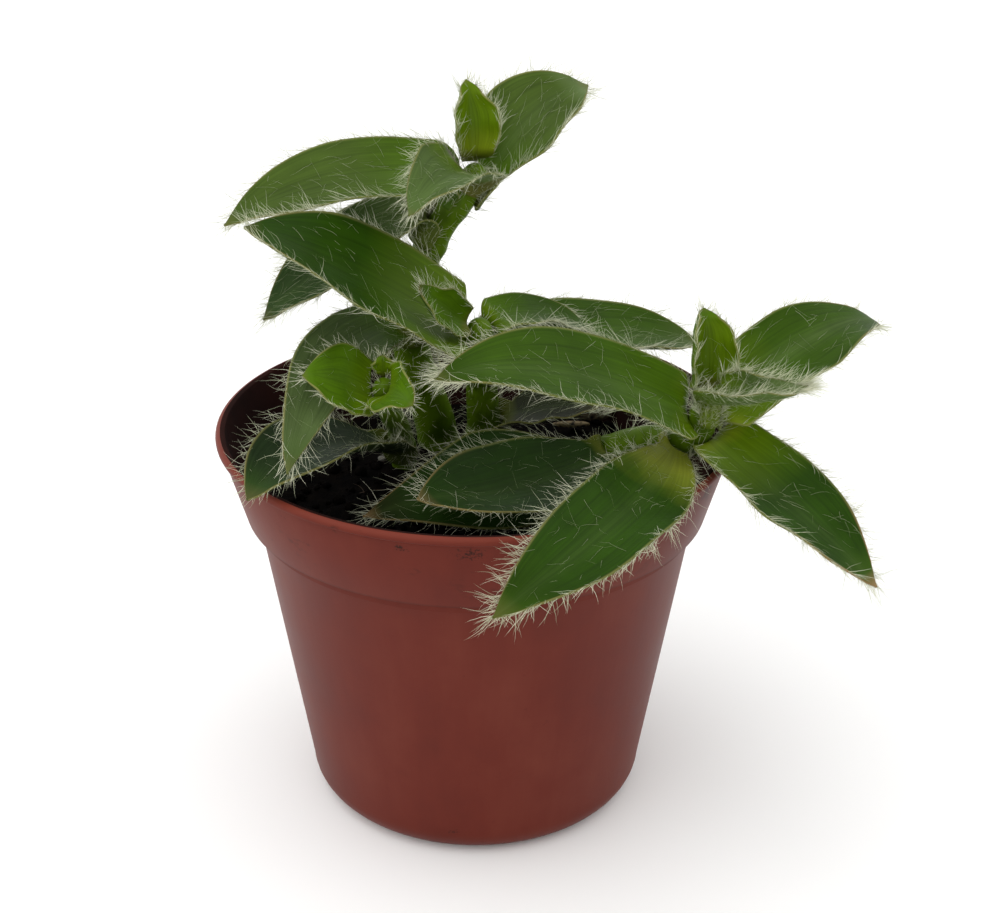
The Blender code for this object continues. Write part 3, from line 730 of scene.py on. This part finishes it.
# Where along the leaf hairs stand, as row numbers: evenly by length, or by area
def spread(surface, count, low, high, draw, byArea=False):
    reach = surface["reachAlong"]
    weights = np.diff(reach) * (surface["half"][1:] if byArea else 1)
    rows = np.arange(len(weights))
    weights = np.where((rows >= low) & (rows < high), weights, 0)
    total = np.concatenate([[0], np.cumsum(weights)])
    return np.interp(draw.uniform(0, total[-1], count), total, np.arange(len(total)))


def makeLeafHairs(name, surface, look, draw):
    claspEnd = leafMake["sheathRows"] + leafMake["neckRows"] // 2
    half, reachAlong = surface["half"], surface["reachAlong"]
    last, columns = len(half) - 1, leafMake["columns"]
    least, more = hairMake["young"]
    small = min(1, least + more * reachAlong[-1] / hairMake["fullLeaf"])
    groups = []

    def at(rows, across):
        return [fromGrid(surface[key], rows, across) for key in ("middle", "normal", "outward", "along")]

    # the fringe, which leans outwards and towards the tip in small clumps
    shortest, further = hairKinds["fringe"]["length"]
    for margin in (0, columns):
        count = int(hairKinds["fringe"]["perMetre"] * reachAlong[-1] * look["fringe"])
        rows = spread(surface, count, 2, last, draw)
        point, normal, outward, along = at(rows, np.full(count, float(margin)))
        reach = np.interp(rows, np.arange(last + 1), reachAlong)
        clumps = (reach / hairMake["clump"]).astype(int)
        most = clumps.max() + 1
        leans = draw.normal(*hairMake["lean"], most)[clumps] + draw.normal(0, hairMake["leanStray"], count)
        lifts = draw.normal(*hairMake["lift"], most)[clumps] + draw.normal(0, hairMake["liftStray"], count)
        matted = draw.random(count) < hairMake["matted"]
        leans = np.radians(np.where(matted, draw.normal(*hairMake["mattedLean"], count), leans))[:, None]
        starts = unit(outward * np.cos(leans) + along * np.sin(leans) + normal * lifts[:, None])
        lengths = (shortest + further * draw.random(count) ** 1.8) * small
        bends = along * 0.6 + draw.normal(0, 0.6, (count, 3))
        groups.append(threads("fringe", point - outward * 0.00005, starts, bends, draw, lengths=lengths))
    # long sparse hairs on the face, short dense ones on the back
    area = 2 * np.sum(half[1:] * np.diff(reachAlong))
    shallow, deeper = hairMake["depth"]
    for kind, amount, sign in (("face", look["fuzz"], 1), ("back", look["wool"], -1)):
        count = int(hairKinds[kind]["perArea"] * amount * area)
        rows = spread(surface, count, claspEnd, last, draw, True)
        places = draw.uniform(-hairMake["faceReach"], hairMake["faceReach"], count)
        places = np.interp(places, surface["columns"], np.arange(columns + 1))
        point, normal, outward, along = at(rows, places)
        normal = normal * sign
        headings = draw.normal(0, 0.75, count)[:, None]
        lifts = draw.uniform(0.15, 0.6, count)[:, None]
        starts = unit(along * np.cos(headings) + outward * np.sin(headings) + normal * lifts)
        across = np.interp(places, np.arange(columns + 1), surface["columns"])
        thick = leafMake["ribThickness"] * (shallow + deeper * (1 - np.abs(across) ** leafMake["thinning"]))
        bends = along * 0.4 - normal * 0.3 + draw.normal(0, 0.45, (count, 3))
        groups.append(threads(kind, point + normal * thick[:, None] * 0.9, starts, bends, draw, small))
    # the clasp round the stem
    claspArea = 2 * np.sum(half[1:claspEnd] * np.diff(reachAlong)[:claspEnd - 1])
    count = int(hairKinds["clasp"]["perArea"] * claspArea * look["wool"])
    rows = spread(surface, count, 0, claspEnd, draw, True)
    point, normal, outward, along = at(rows, draw.uniform(0, columns, count))
    starts = unit(along * draw.uniform(0.2, 1.2, (count, 1)) - normal + draw.normal(0, 0.3, (count, 3)))
    bends = along * 0.5 + draw.normal(0, 0.3, (count, 3))
    groups.append(threads("clasp", point - normal * 0.0002, starts, bends, draw, small))
    # a tuft at the tip
    count = int(hairKinds["tuft"]["count"] * look["tuft"])
    rows = spread(surface, count, last * hairKinds["tuft"]["start"], last, draw)
    point, normal, outward, along = at(rows, draw.choice([0.0, columns], count))
    starts = unit(along + outward * draw.uniform(-0.1, 0.7, (count, 1)) + draw.normal(0, 0.22, (count, 3)))
    bends = along * 0.3 + draw.normal(0, 0.3, (count, 3))
    groups.append(threads("tuft", point, starts, bends, draw, small))
    mesh = threadMesh(name + "_hairs", *(np.concatenate(part) for part in zip(*groups)), draw)
    addPiece(name + "_hairs", mesh, leafHair, look["slot"])


leafHair = hairSkin("leaf_hair", screenColour(112, 128, 76), screenColour(230, 230, 204))
for order, (name, growth) in enumerate(leafGrowth.items()):
    draw = np.random.default_rng(100 + order)
    look = {**plainLook, **leafLooks[name]}
    makeLeafHairs(name, makeLeaf(name, growth, look, draw), look, draw)
print("leaves and their hairs made")


# The stems' skin and hairs
def stemSkin():
    material, tree, shader = startMaterial("stem_skin")
    streaks = addNoise(tree, objectPlace(tree, (1, 1, 0.25)), 900, 3)
    blotches = addNoise(tree, objectPlace(tree), 260, 2)
    shade, green, blush = (screenColour(*stemLook[key]) for key in ("shade", "green", "blush"))
    colour = addRamp(tree, blotches, [(0.3, shade), (0.5, green), (0.68, green), (0.85, blush)])
    finishSkin(tree, shader, mottle(tree, colour, streaks, 0.8, 1.1), 0.45, 0.1)
    addBump(tree, shader, streaks, 0.25, 0.0001)
    return material


# How the stem narrows at its round top
def stemTop(stem, place):
    overTop = max(0, (place - stem["length"]) / stem["radii"][1] + stemLook["dome"]) / stemLook["dome"]
    return math.sqrt(1 - stemLook["domeShare"] * overTop ** 2)


stemMaterial = stemSkin()
for order, (name, stem) in enumerate(stems.items()):
    draw = np.random.default_rng(200 + order)
    curve = bpy.data.curves.new(name + "_line", "CURVE")
    curve.dimensions = "3D"
    curve.bevel_depth = 1
    curve.bevel_resolution = 10
    curve.use_fill_caps = True
    nodes = [growth["node"] for growth in leafGrowth.values() if growth["stem"] == name]
    spline = curve.splines.new("POLY")
    spline.points.add(stemLook["rings"] - 1)
    for corner, place in zip(spline.points, np.linspace(0, stem["length"], stemLook["rings"])):
        swelling = max(math.exp(-((place - node) / stemLook["swellingReach"]) ** 2) for node in nodes)
        corner.co = (*stemPoint(stem, place), 1)
        corner.radius = (stemRadius(stem, place) + stemLook["swelling"] * swelling) * stemTop(stem, place)
    piece = addObject(name + "_skin", curve)
    choose(piece)
    bpy.ops.object.convert(target="MESH")
    startEditing()
    bpy.ops.mesh.remove_doubles(threshold=0.000005)
    bpy.ops.mesh.normals_make_consistent(inside=False)
    bpy.ops.object.mode_set(mode="OBJECT")
    cover(piece, stemMaterial)
    bpy.ops.object.shade_smooth()
    settle(piece, "stem", name)
    # its hairs, from where it leaves the peat
    area = math.tau * stem["radii"][0] * (stem["length"] - stemLook["bare"])
    count, more = int(hairKinds["stem"]["perArea"] * area), stemLook["topHairs"]
    places = draw.uniform(stemLook["bare"], stem["length"], count)
    places[:more] = stem["length"] - draw.uniform(0, stemLook["topReach"], more)
    centres = np.array([stemPoint(stem, place) for place in places])
    axes = np.array([stemAxis(stem, place) for place in places])
    outward = unit(np.cross(axes, draw.normal(size=(count, 3))))
    radii = np.array([stemRadius(stem, place) * stemTop(stem, place) for place in places])[:, None]
    starts = unit(outward + axes * draw.uniform(-0.2, 0.9, (count, 1)) + draw.normal(0, 0.2, (count, 3)))
    bends = draw.normal(0, 0.4, (count, 3))
    hairs = threads("stem", centres + outward * radii, starts, bends, draw)
    addPiece(name + "_hairs", threadMesh(name + "_hairs", *hairs, draw), leafHair, "stem")
print("stems made")


# The pot
potMake = {
    "rim": 0.0275, "height": 0.0432, "base": 0.0186, "bodyTop": 0.0234,
    "collarBottom": 0.0343, "collarRadius": 0.02475, "band": 0.0010, "bandStep": 0.0006,
    "wall": 0.0010, "floor": 0.0010, "fillet": 0.0033, "lip": 0.0011, "groove": 0.0003,
    "slope": 0.0002, "corner": 0.002,  # of the steps in its wall, and of its floor inside
    "sides": 128, "bevel": 0.00009, "bevelAngle": 28,
    "drains": 4, "drainRadius": 0.0020, "drainCircle": 0.0105, "drainDepth": 0.004,
    "colour": (94, 37, 27),
    "paler": (104, 48, 36),
    "darker": (85, 32, 24),
    # the paler colour of the painted highlight on the top of the lip
    "lipHighlight": (118, 54, 41),
    # the colour of the peat smudges, and also of the painted shade in the crease under the collar
    "dirtAndShade": (40, 20, 14),
    # the dark colour of the painted shade inside the wall
    "insideShade": (14, 5, 4),
    "insideShadeFrom": 0.0344,  # the height at which the painted shade begins inside the wall
    "insideShadeLine": (0.309, 0.01365),  # the middle of the collar's wall: its slope, and its radius at the base
    "rampHeight": 0.05,  # the height that a colour ramp runs over
    # where peat has been rubbed on the wall: place, reach and strength
    "smudges": [((-0.0071, -0.0257, 0.0414), 0.0015, 1.0), ((-0.0005, -0.0267, 0.0412), 0.0030, 1.0),
                ((-0.0188, -0.0186, 0.0412), 0.0008, 0.8), ((-0.0205, -0.0150, 0.0366), 0.0009, 0.8),
                ((0.0125, -0.0220, 0.0370), 0.0030, 0.5), ((-0.0025, -0.0184, 0.0033), 0.0010, 0.7)],
}


def arc(centre, radius, start, end, steps):
    turns = [math.radians(start + (end - start) * step / steps) for step in range(steps + 1)]
    return [(centre[0] + radius * math.cos(turn), centre[1] + radius * math.sin(turn)) for turn in turns]


def potProfile():
    p = potMake
    bandBottom, slope = p["collarBottom"] - p["band"], p["slope"]
    lipBottom, lipRound = p["height"] - p["lip"], p["lip"] / 2
    bandRadius, underLip = p["bodyTop"] + p["bandStep"], p["rim"] - p["groove"] * 2
    inside = p["rim"] - p["wall"]
    profile = arc((p["base"] - p["fillet"], p["fillet"]), p["fillet"], -90, 0, 10)
    profile += [(p["bodyTop"], bandBottom - slope), (bandRadius, bandBottom),
                (bandRadius, p["collarBottom"] - slope), (p["collarRadius"], p["collarBottom"]),
                (underLip, lipBottom - p["groove"]), (underLip, lipBottom)]
    profile += arc((p["rim"] - lipRound, p["height"] - lipRound), lipRound, -20, 90, 8)
    profile += [(inside, p["height"] - slope / 2),
                (p["collarRadius"] - p["wall"] - slope / 2, p["collarBottom"] - slope),
                (p["bodyTop"] - p["wall"], p["collarBottom"] - slope * 2),
                (p["base"] - p["wall"], p["floor"] + p["corner"]),
                (p["base"] - p["wall"] - p["corner"], p["floor"])]
    return profile


# A ring drawn out along a profile, as when a shape is extruded by hand, ring by ring
def drawOut(name, profile, sides):
    clearSelection()
    radius, height = profile[0]
    bpy.ops.mesh.primitive_circle_add(vertices=sides, radius=radius, location=(0, 0, height),
                                      fill_type="NOTHING")
    piece = bpy.context.object
    piece.name = name
    bpy.ops.object.transform_apply(location=True, rotation=True, scale=True)
    startEditing()
    bpy.ops.mesh.edge_face_add()
    bpy.ops.mesh.select_mode(type="EDGE")
    bpy.ops.mesh.select_all(action="SELECT")
    bpy.ops.mesh.delete(type="ONLY_FACE")
    bpy.ops.mesh.select_all(action="SELECT")
    for (radius, height), (nextRadius, nextHeight) in zip(profile, profile[1:]):
        bpy.ops.mesh.extrude_region_move(TRANSFORM_OT_translate={"value": (0, 0, nextHeight - height)})
        bpy.ops.transform.resize(value=(nextRadius / radius, nextRadius / radius, 1))
    bpy.ops.mesh.edge_face_add()
    bpy.ops.mesh.select_all(action="DESELECT")
    bpy.ops.mesh.select_non_manifold()
    bpy.ops.mesh.edge_face_add()
    bpy.ops.mesh.select_all(action="SELECT")
    bpy.ops.mesh.normals_make_consistent(inside=False)
    bpy.ops.object.mode_set(mode="OBJECT")
    return piece


def potSkin():
    material, tree, shader = startMaterial("terracotta_plastic")
    darker, plain, paler, lipHighlight, dirtAndShade, insideShade = (
        screenColour(*potMake[key]) for key in ("darker", "colour", "paler", "lipHighlight", "dirtAndShade", "insideShade"))
    place = objectPlace(tree)
    height = addNode(tree, "SeparateXYZ", {0: place}).outputs[2]
    upwards = multiply(tree, height, 1 / potMake["rampHeight"])

    def overHeight(*stops):
        return addRamp(tree, upwards, [(metres / potMake["rampHeight"], value) for metres, value in stops])

    streaks = addNoise(tree, objectPlace(tree, (1, 1, 0.05)), 420, 4, 0.6)
    clouds = addNoise(tree, place, 70, 4, 0.6)
    mixed = multiply(tree, streaks, 0.25, multiply(tree, clouds, 0.75))
    colour = addRamp(tree, mixed, [(0.3, darker), (0.5, plain), (0.75, paler)])
    # smudges of peat under the lip and a few specks lower down
    smears = addRamp(tree, addNoise(tree, objectPlace(tree, (1, 1, 1.6)), 190, 4, 0.7),
                     [(0.60, 0.0), (0.68, 0.75)])
    nearLip = overHeight((0.033, 0.05), (0.039, 0.55), (0.043, 1.0))
    colour = mixColours(tree, multiply(tree, smears, nearLip), colour, dirtAndShade)
    flecks = multiply(tree, addNoise(tree, place, 3200, 4, 0.7), -4.0, 2.1)
    flat = objectPlace(tree, (1, 1, 2))  # a smudge is half as high as it is wide
    for (x, y, z), reach, strength in potMake["smudges"]:
        apart = measure(tree, "DISTANCE", {0: flat, 1: (x, y, z * 2)})
        ragged = calculate(tree, "ADD", calculate(tree, "DIVIDE", apart, reach), flecks)
        colour = mixColours(tree, addRamp(tree, ragged, [(0.0, strength), (0.4, 0.0)]), colour, dirtAndShade)
    specks = addNoise(tree, place, 900, 2, 0.6)
    colour = mixColours(tree, addRamp(tree, specks, [(0.70, 0.0), (0.76, 0.45)]), colour, darker)
    # painted shade: a dark line in the crease under the collar; and a painted highlight: the top of the
    # lip, painted a little paler
    colour = mixColours(tree, overHeight((0.0338, 0.0), (0.03425, 0.55), (0.0345, 0.0)), colour, dirtAndShade)
    colour = mixColours(tree, overHeight((0.0426, 0.0), (0.0431, 0.7)), colour, lipHighlight)
    # painted shade darkens the inside of the wall
    away = measure(tree, "LENGTH", {0: objectPlace(tree, (1, 1, 0))})
    inside = calculate(tree, "LESS_THAN", away, multiply(tree, height, *potMake["insideShadeLine"]))
    inside = multiply(tree, inside, calculate(tree, "GREATER_THAN", height, potMake["insideShadeFrom"]))
    inside = multiply(tree, inside, addRamp(tree, clouds, [(0.3, 0.97), (0.7, 0.85)]))
    colour = mixColours(tree, inside, colour, insideShade)
    rough = multiply(tree, inside, 0.5, multiply(tree, clouds, 0.2, 0.34))
    finishSkin(tree, shader, colour, rough, 0.09)
    addBump(tree, shader, multiply(tree, addNoise(tree, place, 3000, 2), 0.4, streaks), 0.1, 0.0001)
    return material


pot = drawOut("pot_shell", potProfile(), potMake["sides"])
for hole in range(potMake["drains"]):
    turn, away = math.tau * (hole + 0.5) / potMake["drains"], potMake["drainCircle"]
    clearSelection()
    bpy.ops.mesh.primitive_cylinder_add(vertices=32, radius=potMake["drainRadius"],
                                        depth=potMake["drainDepth"],
                                        location=(away * math.cos(turn), away * math.sin(turn), 0))
    cutter = bpy.context.object
    choose(pot)
    cut = pot.modifiers.new("drain", "BOOLEAN")
    cut.operation = "DIFFERENCE"
    cut.solver = "EXACT"
    cut.object = cutter
    bpy.ops.object.modifier_apply(modifier="drain")
    bpy.data.objects.remove(cutter, do_unlink=True)
edges = pot.modifiers.new("edges", "BEVEL")
edges.width = potMake["bevel"]
edges.segments = 2
edges.limit_method = "ANGLE"
edges.angle_limit = math.radians(potMake["bevelAngle"])
bpy.ops.object.modifier_apply(modifier="edges")
bpy.ops.object.shade_smooth_by_angle(angle=math.radians(40))
cover(pot, potSkin())
settle(pot, "pot", "pot")
print("pot made")


# The peat
peatMake = {
    "level": 0.0347,
    "radius": 0.02335,
    # its side, as the CAD has it: radius and height
    "side": [(0.0153, 0.0013), (0.0173, 0.0033), (0.0220, 0.0334), (0.0220, 0.0343), (0.02335, 0.03445)],
    "rings": 40,
    "sides": 120,
    "lumps": 260,  # the scale of its lumps
    "relief": 0.0007,
    "border": 0.0008,  # along the wall, where the relief fades
    "crumbs": 650,
    "crumbSize": (0.00018, 0.0007),  # the least, and how much larger the largest are
    "fibres": 60,
    "dark": (5, 4, 4),
    "brown": (17, 13, 10),
    "crumb": (38, 28, 20),
    "fibreRoot": (34, 24, 18),
    "fibre": (78, 60, 40),
}


def peatSkin():
    material, tree, shader = startMaterial("moist_peat")
    lumps = addNoise(tree, objectPlace(tree), 700, 5, 0.65)
    dark, brown, crumb = (screenColour(*peatMake[key]) for key in ("dark", "brown", "crumb"))
    finishSkin(tree, shader, addRamp(tree, lumps, [(0.4, dark), (0.68, brown), (0.84, crumb)]), 0.85, 0.03)
    addBump(tree, shader, lumps, 0.9, 0.0006)
    return material


def peatHeight(x, y):
    lump = noise.fractal(Vector((x * peatMake["lumps"], y * peatMake["lumps"], 3.1)), 1.0, 2.0, 4)
    return peatMake["level"] + peatMake["relief"] * lump


peatMaterial = peatSkin()
edge, level, rings = (peatMake[key] for key in ("radius", "level", "rings"))
top = [(edge * (1 - ring / rings), level) for ring in range(rings)]
peat = drawOut("peat_bed", peatMake["side"] + top, peatMake["sides"])
border = peatMake["border"]
for vertex in peat.data.vertices:
    inward = 1 - min(1, max(0, (vertex.co.xy.length - edge + border) / border))
    if vertex.co.z > level - 0.0001:
        vertex.co.z += (peatHeight(vertex.co.x, vertex.co.y) - level) * inward
bpy.ops.object.shade_smooth_by_angle(angle=math.radians(60))
cover(peat, peatMaterial)
settle(peat, "soil", "soil")

# one rough crumb, copied to lie all over the peat
draw = np.random.default_rng(31)
clearSelection()
bpy.ops.mesh.primitive_ico_sphere_add(subdivisions=2, radius=1, location=(0, 0, 0))
crumb = bpy.context.object
bpy.ops.object.mode_set(mode="EDIT")
bpy.ops.transform.vertex_random(offset=0.28, seed=5)
bpy.ops.object.mode_set(mode="OBJECT")
crumbPoints = np.array([vertex.co for vertex in crumb.data.vertices])
crumbFaces = [tuple(face.vertices) for face in crumb.data.polygons]
bpy.data.objects.remove(crumb, do_unlink=True)
points, faces = [], []
least, more = peatMake["crumbSize"]
for number in range(peatMake["crumbs"]):
    away, turn = edge * math.sqrt(draw.uniform(0, 0.97)), draw.uniform(0, math.tau)
    x, y = away * math.cos(turn), away * math.sin(turn)
    size = least + more * draw.random() ** 3
    shape = Matrix.Rotation(draw.uniform(0, math.tau), 3, Vector(draw.normal(size=3)).normalized()) \
        @ Matrix.Diagonal((size, size * draw.uniform(0.6, 1), size * draw.uniform(0.5, 0.9)))
    placed = crumbPoints @ np.array(shape).T + (x, y, peatHeight(x, y) + size * 0.3)
    faces += [tuple(corner + len(points) * len(crumbPoints) for corner in face) for face in crumbFaces]
    points.append(placed)
mesh = bpy.data.meshes.new("peat_crumbs")
mesh.from_pydata(np.concatenate(points).tolist(), [], faces)
mesh.shade_smooth()
addPiece("peat_crumbs", mesh, peatMaterial, "soil")

# fibres that lie on the peat
count = peatMake["fibres"]
away, turns = edge * 0.95 * np.sqrt(draw.uniform(0, 1, count)), draw.uniform(0, math.tau, count)
roots = np.stack([away * np.cos(turns), away * np.sin(turns), np.zeros(count)], 1)
roots[:, 2] = [peatHeight(x, y) + 0.0001 for x, y in roots[:, :2]]
headings = draw.uniform(0, math.tau, count)
starts = unit(np.stack([np.cos(headings), np.sin(headings), draw.uniform(0, 0.35, count)], 1))
bends = np.stack([draw.normal(0, 0.6, count), draw.normal(0, 0.6, count), np.full(count, -0.3)], 1)
inwards = -roots * (1, 1, 0) / edge * 0.9
fibres = threads("fibre", roots, unit(starts + inwards), bends, draw)
fibreSkin = hairSkin("peat_fibre", screenColour(*peatMake["fibreRoot"]), screenColour(*peatMake["fibre"]))
addPiece("peat_fibres", threadMesh("peat_fibres", *fibres, draw), fibreSkin, "soil")

# a few pale bits that lie on the peat
peatBits = {
    "perlite": dict(place=(-0.0104, 0.0062, 0.0356), size=(0.0005, 0.0004, 0.0003), colour=(116, 114, 104)),
    "stub": dict(place=(-0.0091, 0.0150, 0.0362), size=(0.0014, 0.0012, 0.0012), colour=(84, 88, 66)),
    "dry_leaf": dict(place=(0.0136, 0.0180, 0.0362), size=(0.0024, 0.0006, 0.0014), colour=(112, 98, 76)),
    "dry_stem": dict(place=(0.0110, 0.0150, 0.0358), size=(0.0022, 0.0004, 0.0004), colour=(128, 112, 82)),
}
for order, (name, bit) in enumerate(peatBits.items()):
    clearSelection()
    bpy.ops.mesh.primitive_ico_sphere_add(subdivisions=3, radius=1, location=bit["place"])
    piece = bpy.context.object
    piece.name = name
    piece.scale = bit["size"]
    bpy.ops.object.transform_apply(location=True, rotation=True, scale=True)
    bpy.ops.object.mode_set(mode="EDIT")
    bpy.ops.transform.vertex_random(offset=min(bit["size"]) * 0.15, seed=order)
    bpy.ops.object.mode_set(mode="OBJECT")
    bpy.ops.object.shade_smooth()
    material, tree, shader = startMaterial(name)
    mottled = addNoise(tree, objectPlace(tree), 1800, 3)
    stops = [(0.35, screenColour(*peatMake["brown"])), (0.55, screenColour(*bit["colour"]))]
    finishSkin(tree, shader, addRamp(tree, mottled, stops), 0.9)
    cover(piece, material)
    settle(piece, "soil")
print("peat made")


# Camera, light and floor
studio = {
    "eye": (0, -0.1773, 0.1224),
    "aim": (0, 0, 0.03875),
    "lens": 65.8,
    "shift": 0.0241,
    "sky": 0.95,
    "softboxes": {"key": dict(place=(-0.35, -0.25, 0.60), size=1.3, power=4.2),
                  "fill": dict(place=(0.55, 0.10, 0.45), size=0.6, power=0.5)},
    "lit": (0, 0, 0.04),  # where the softboxes point
    "floor": (250, 250, 249),
    "floorPaler": (252, 252, 251),
}


def aimAt(thing, place, target):
    thing.location = place
    thing.rotation_euler = (Vector(target) - Vector(place)).to_track_quat("-Z", "Y").to_euler()


camera = addObject("camera", bpy.data.cameras.new("camera"))
aimAt(camera, studio["eye"], studio["aim"])
camera.data.lens = studio["lens"]
camera.data.sensor_width = 36
camera.data.shift_x = studio["shift"]
camera.data.clip_start = 0.01
bpy.context.scene.camera = camera

for name, softbox in studio["softboxes"].items():
    light = bpy.data.lights.new(name, "AREA")
    light.shape = "SQUARE"
    light.size = softbox["size"]
    light.energy = softbox["power"]
    aimAt(addObject(name, light), softbox["place"], studio["lit"])

world = bpy.data.worlds.new("studio")
world.use_nodes = True
world.node_tree.nodes["Background"].inputs[0].default_value = (1, 1, 1, 1)
world.node_tree.nodes["Background"].inputs[1].default_value = studio["sky"]
bpy.context.scene.world = world
bpy.context.scene.view_settings.view_transform = "Standard"

clearSelection()
bpy.ops.mesh.primitive_circle_add(vertices=96, radius=3, fill_type="NGON", location=(0, 0, 0))
floor = bpy.context.object
floor.name = "floor"
material, tree, shader = startMaterial("pale_floor")
stops = [(0.3, screenColour(*studio["floor"])), (0.7, screenColour(*studio["floorPaler"]))]
finishSkin(tree, shader, addRamp(tree, addNoise(tree, objectPlace(tree), 6, 2), stops), 0.9)
cover(floor, material)
print("camera, light and floor made")
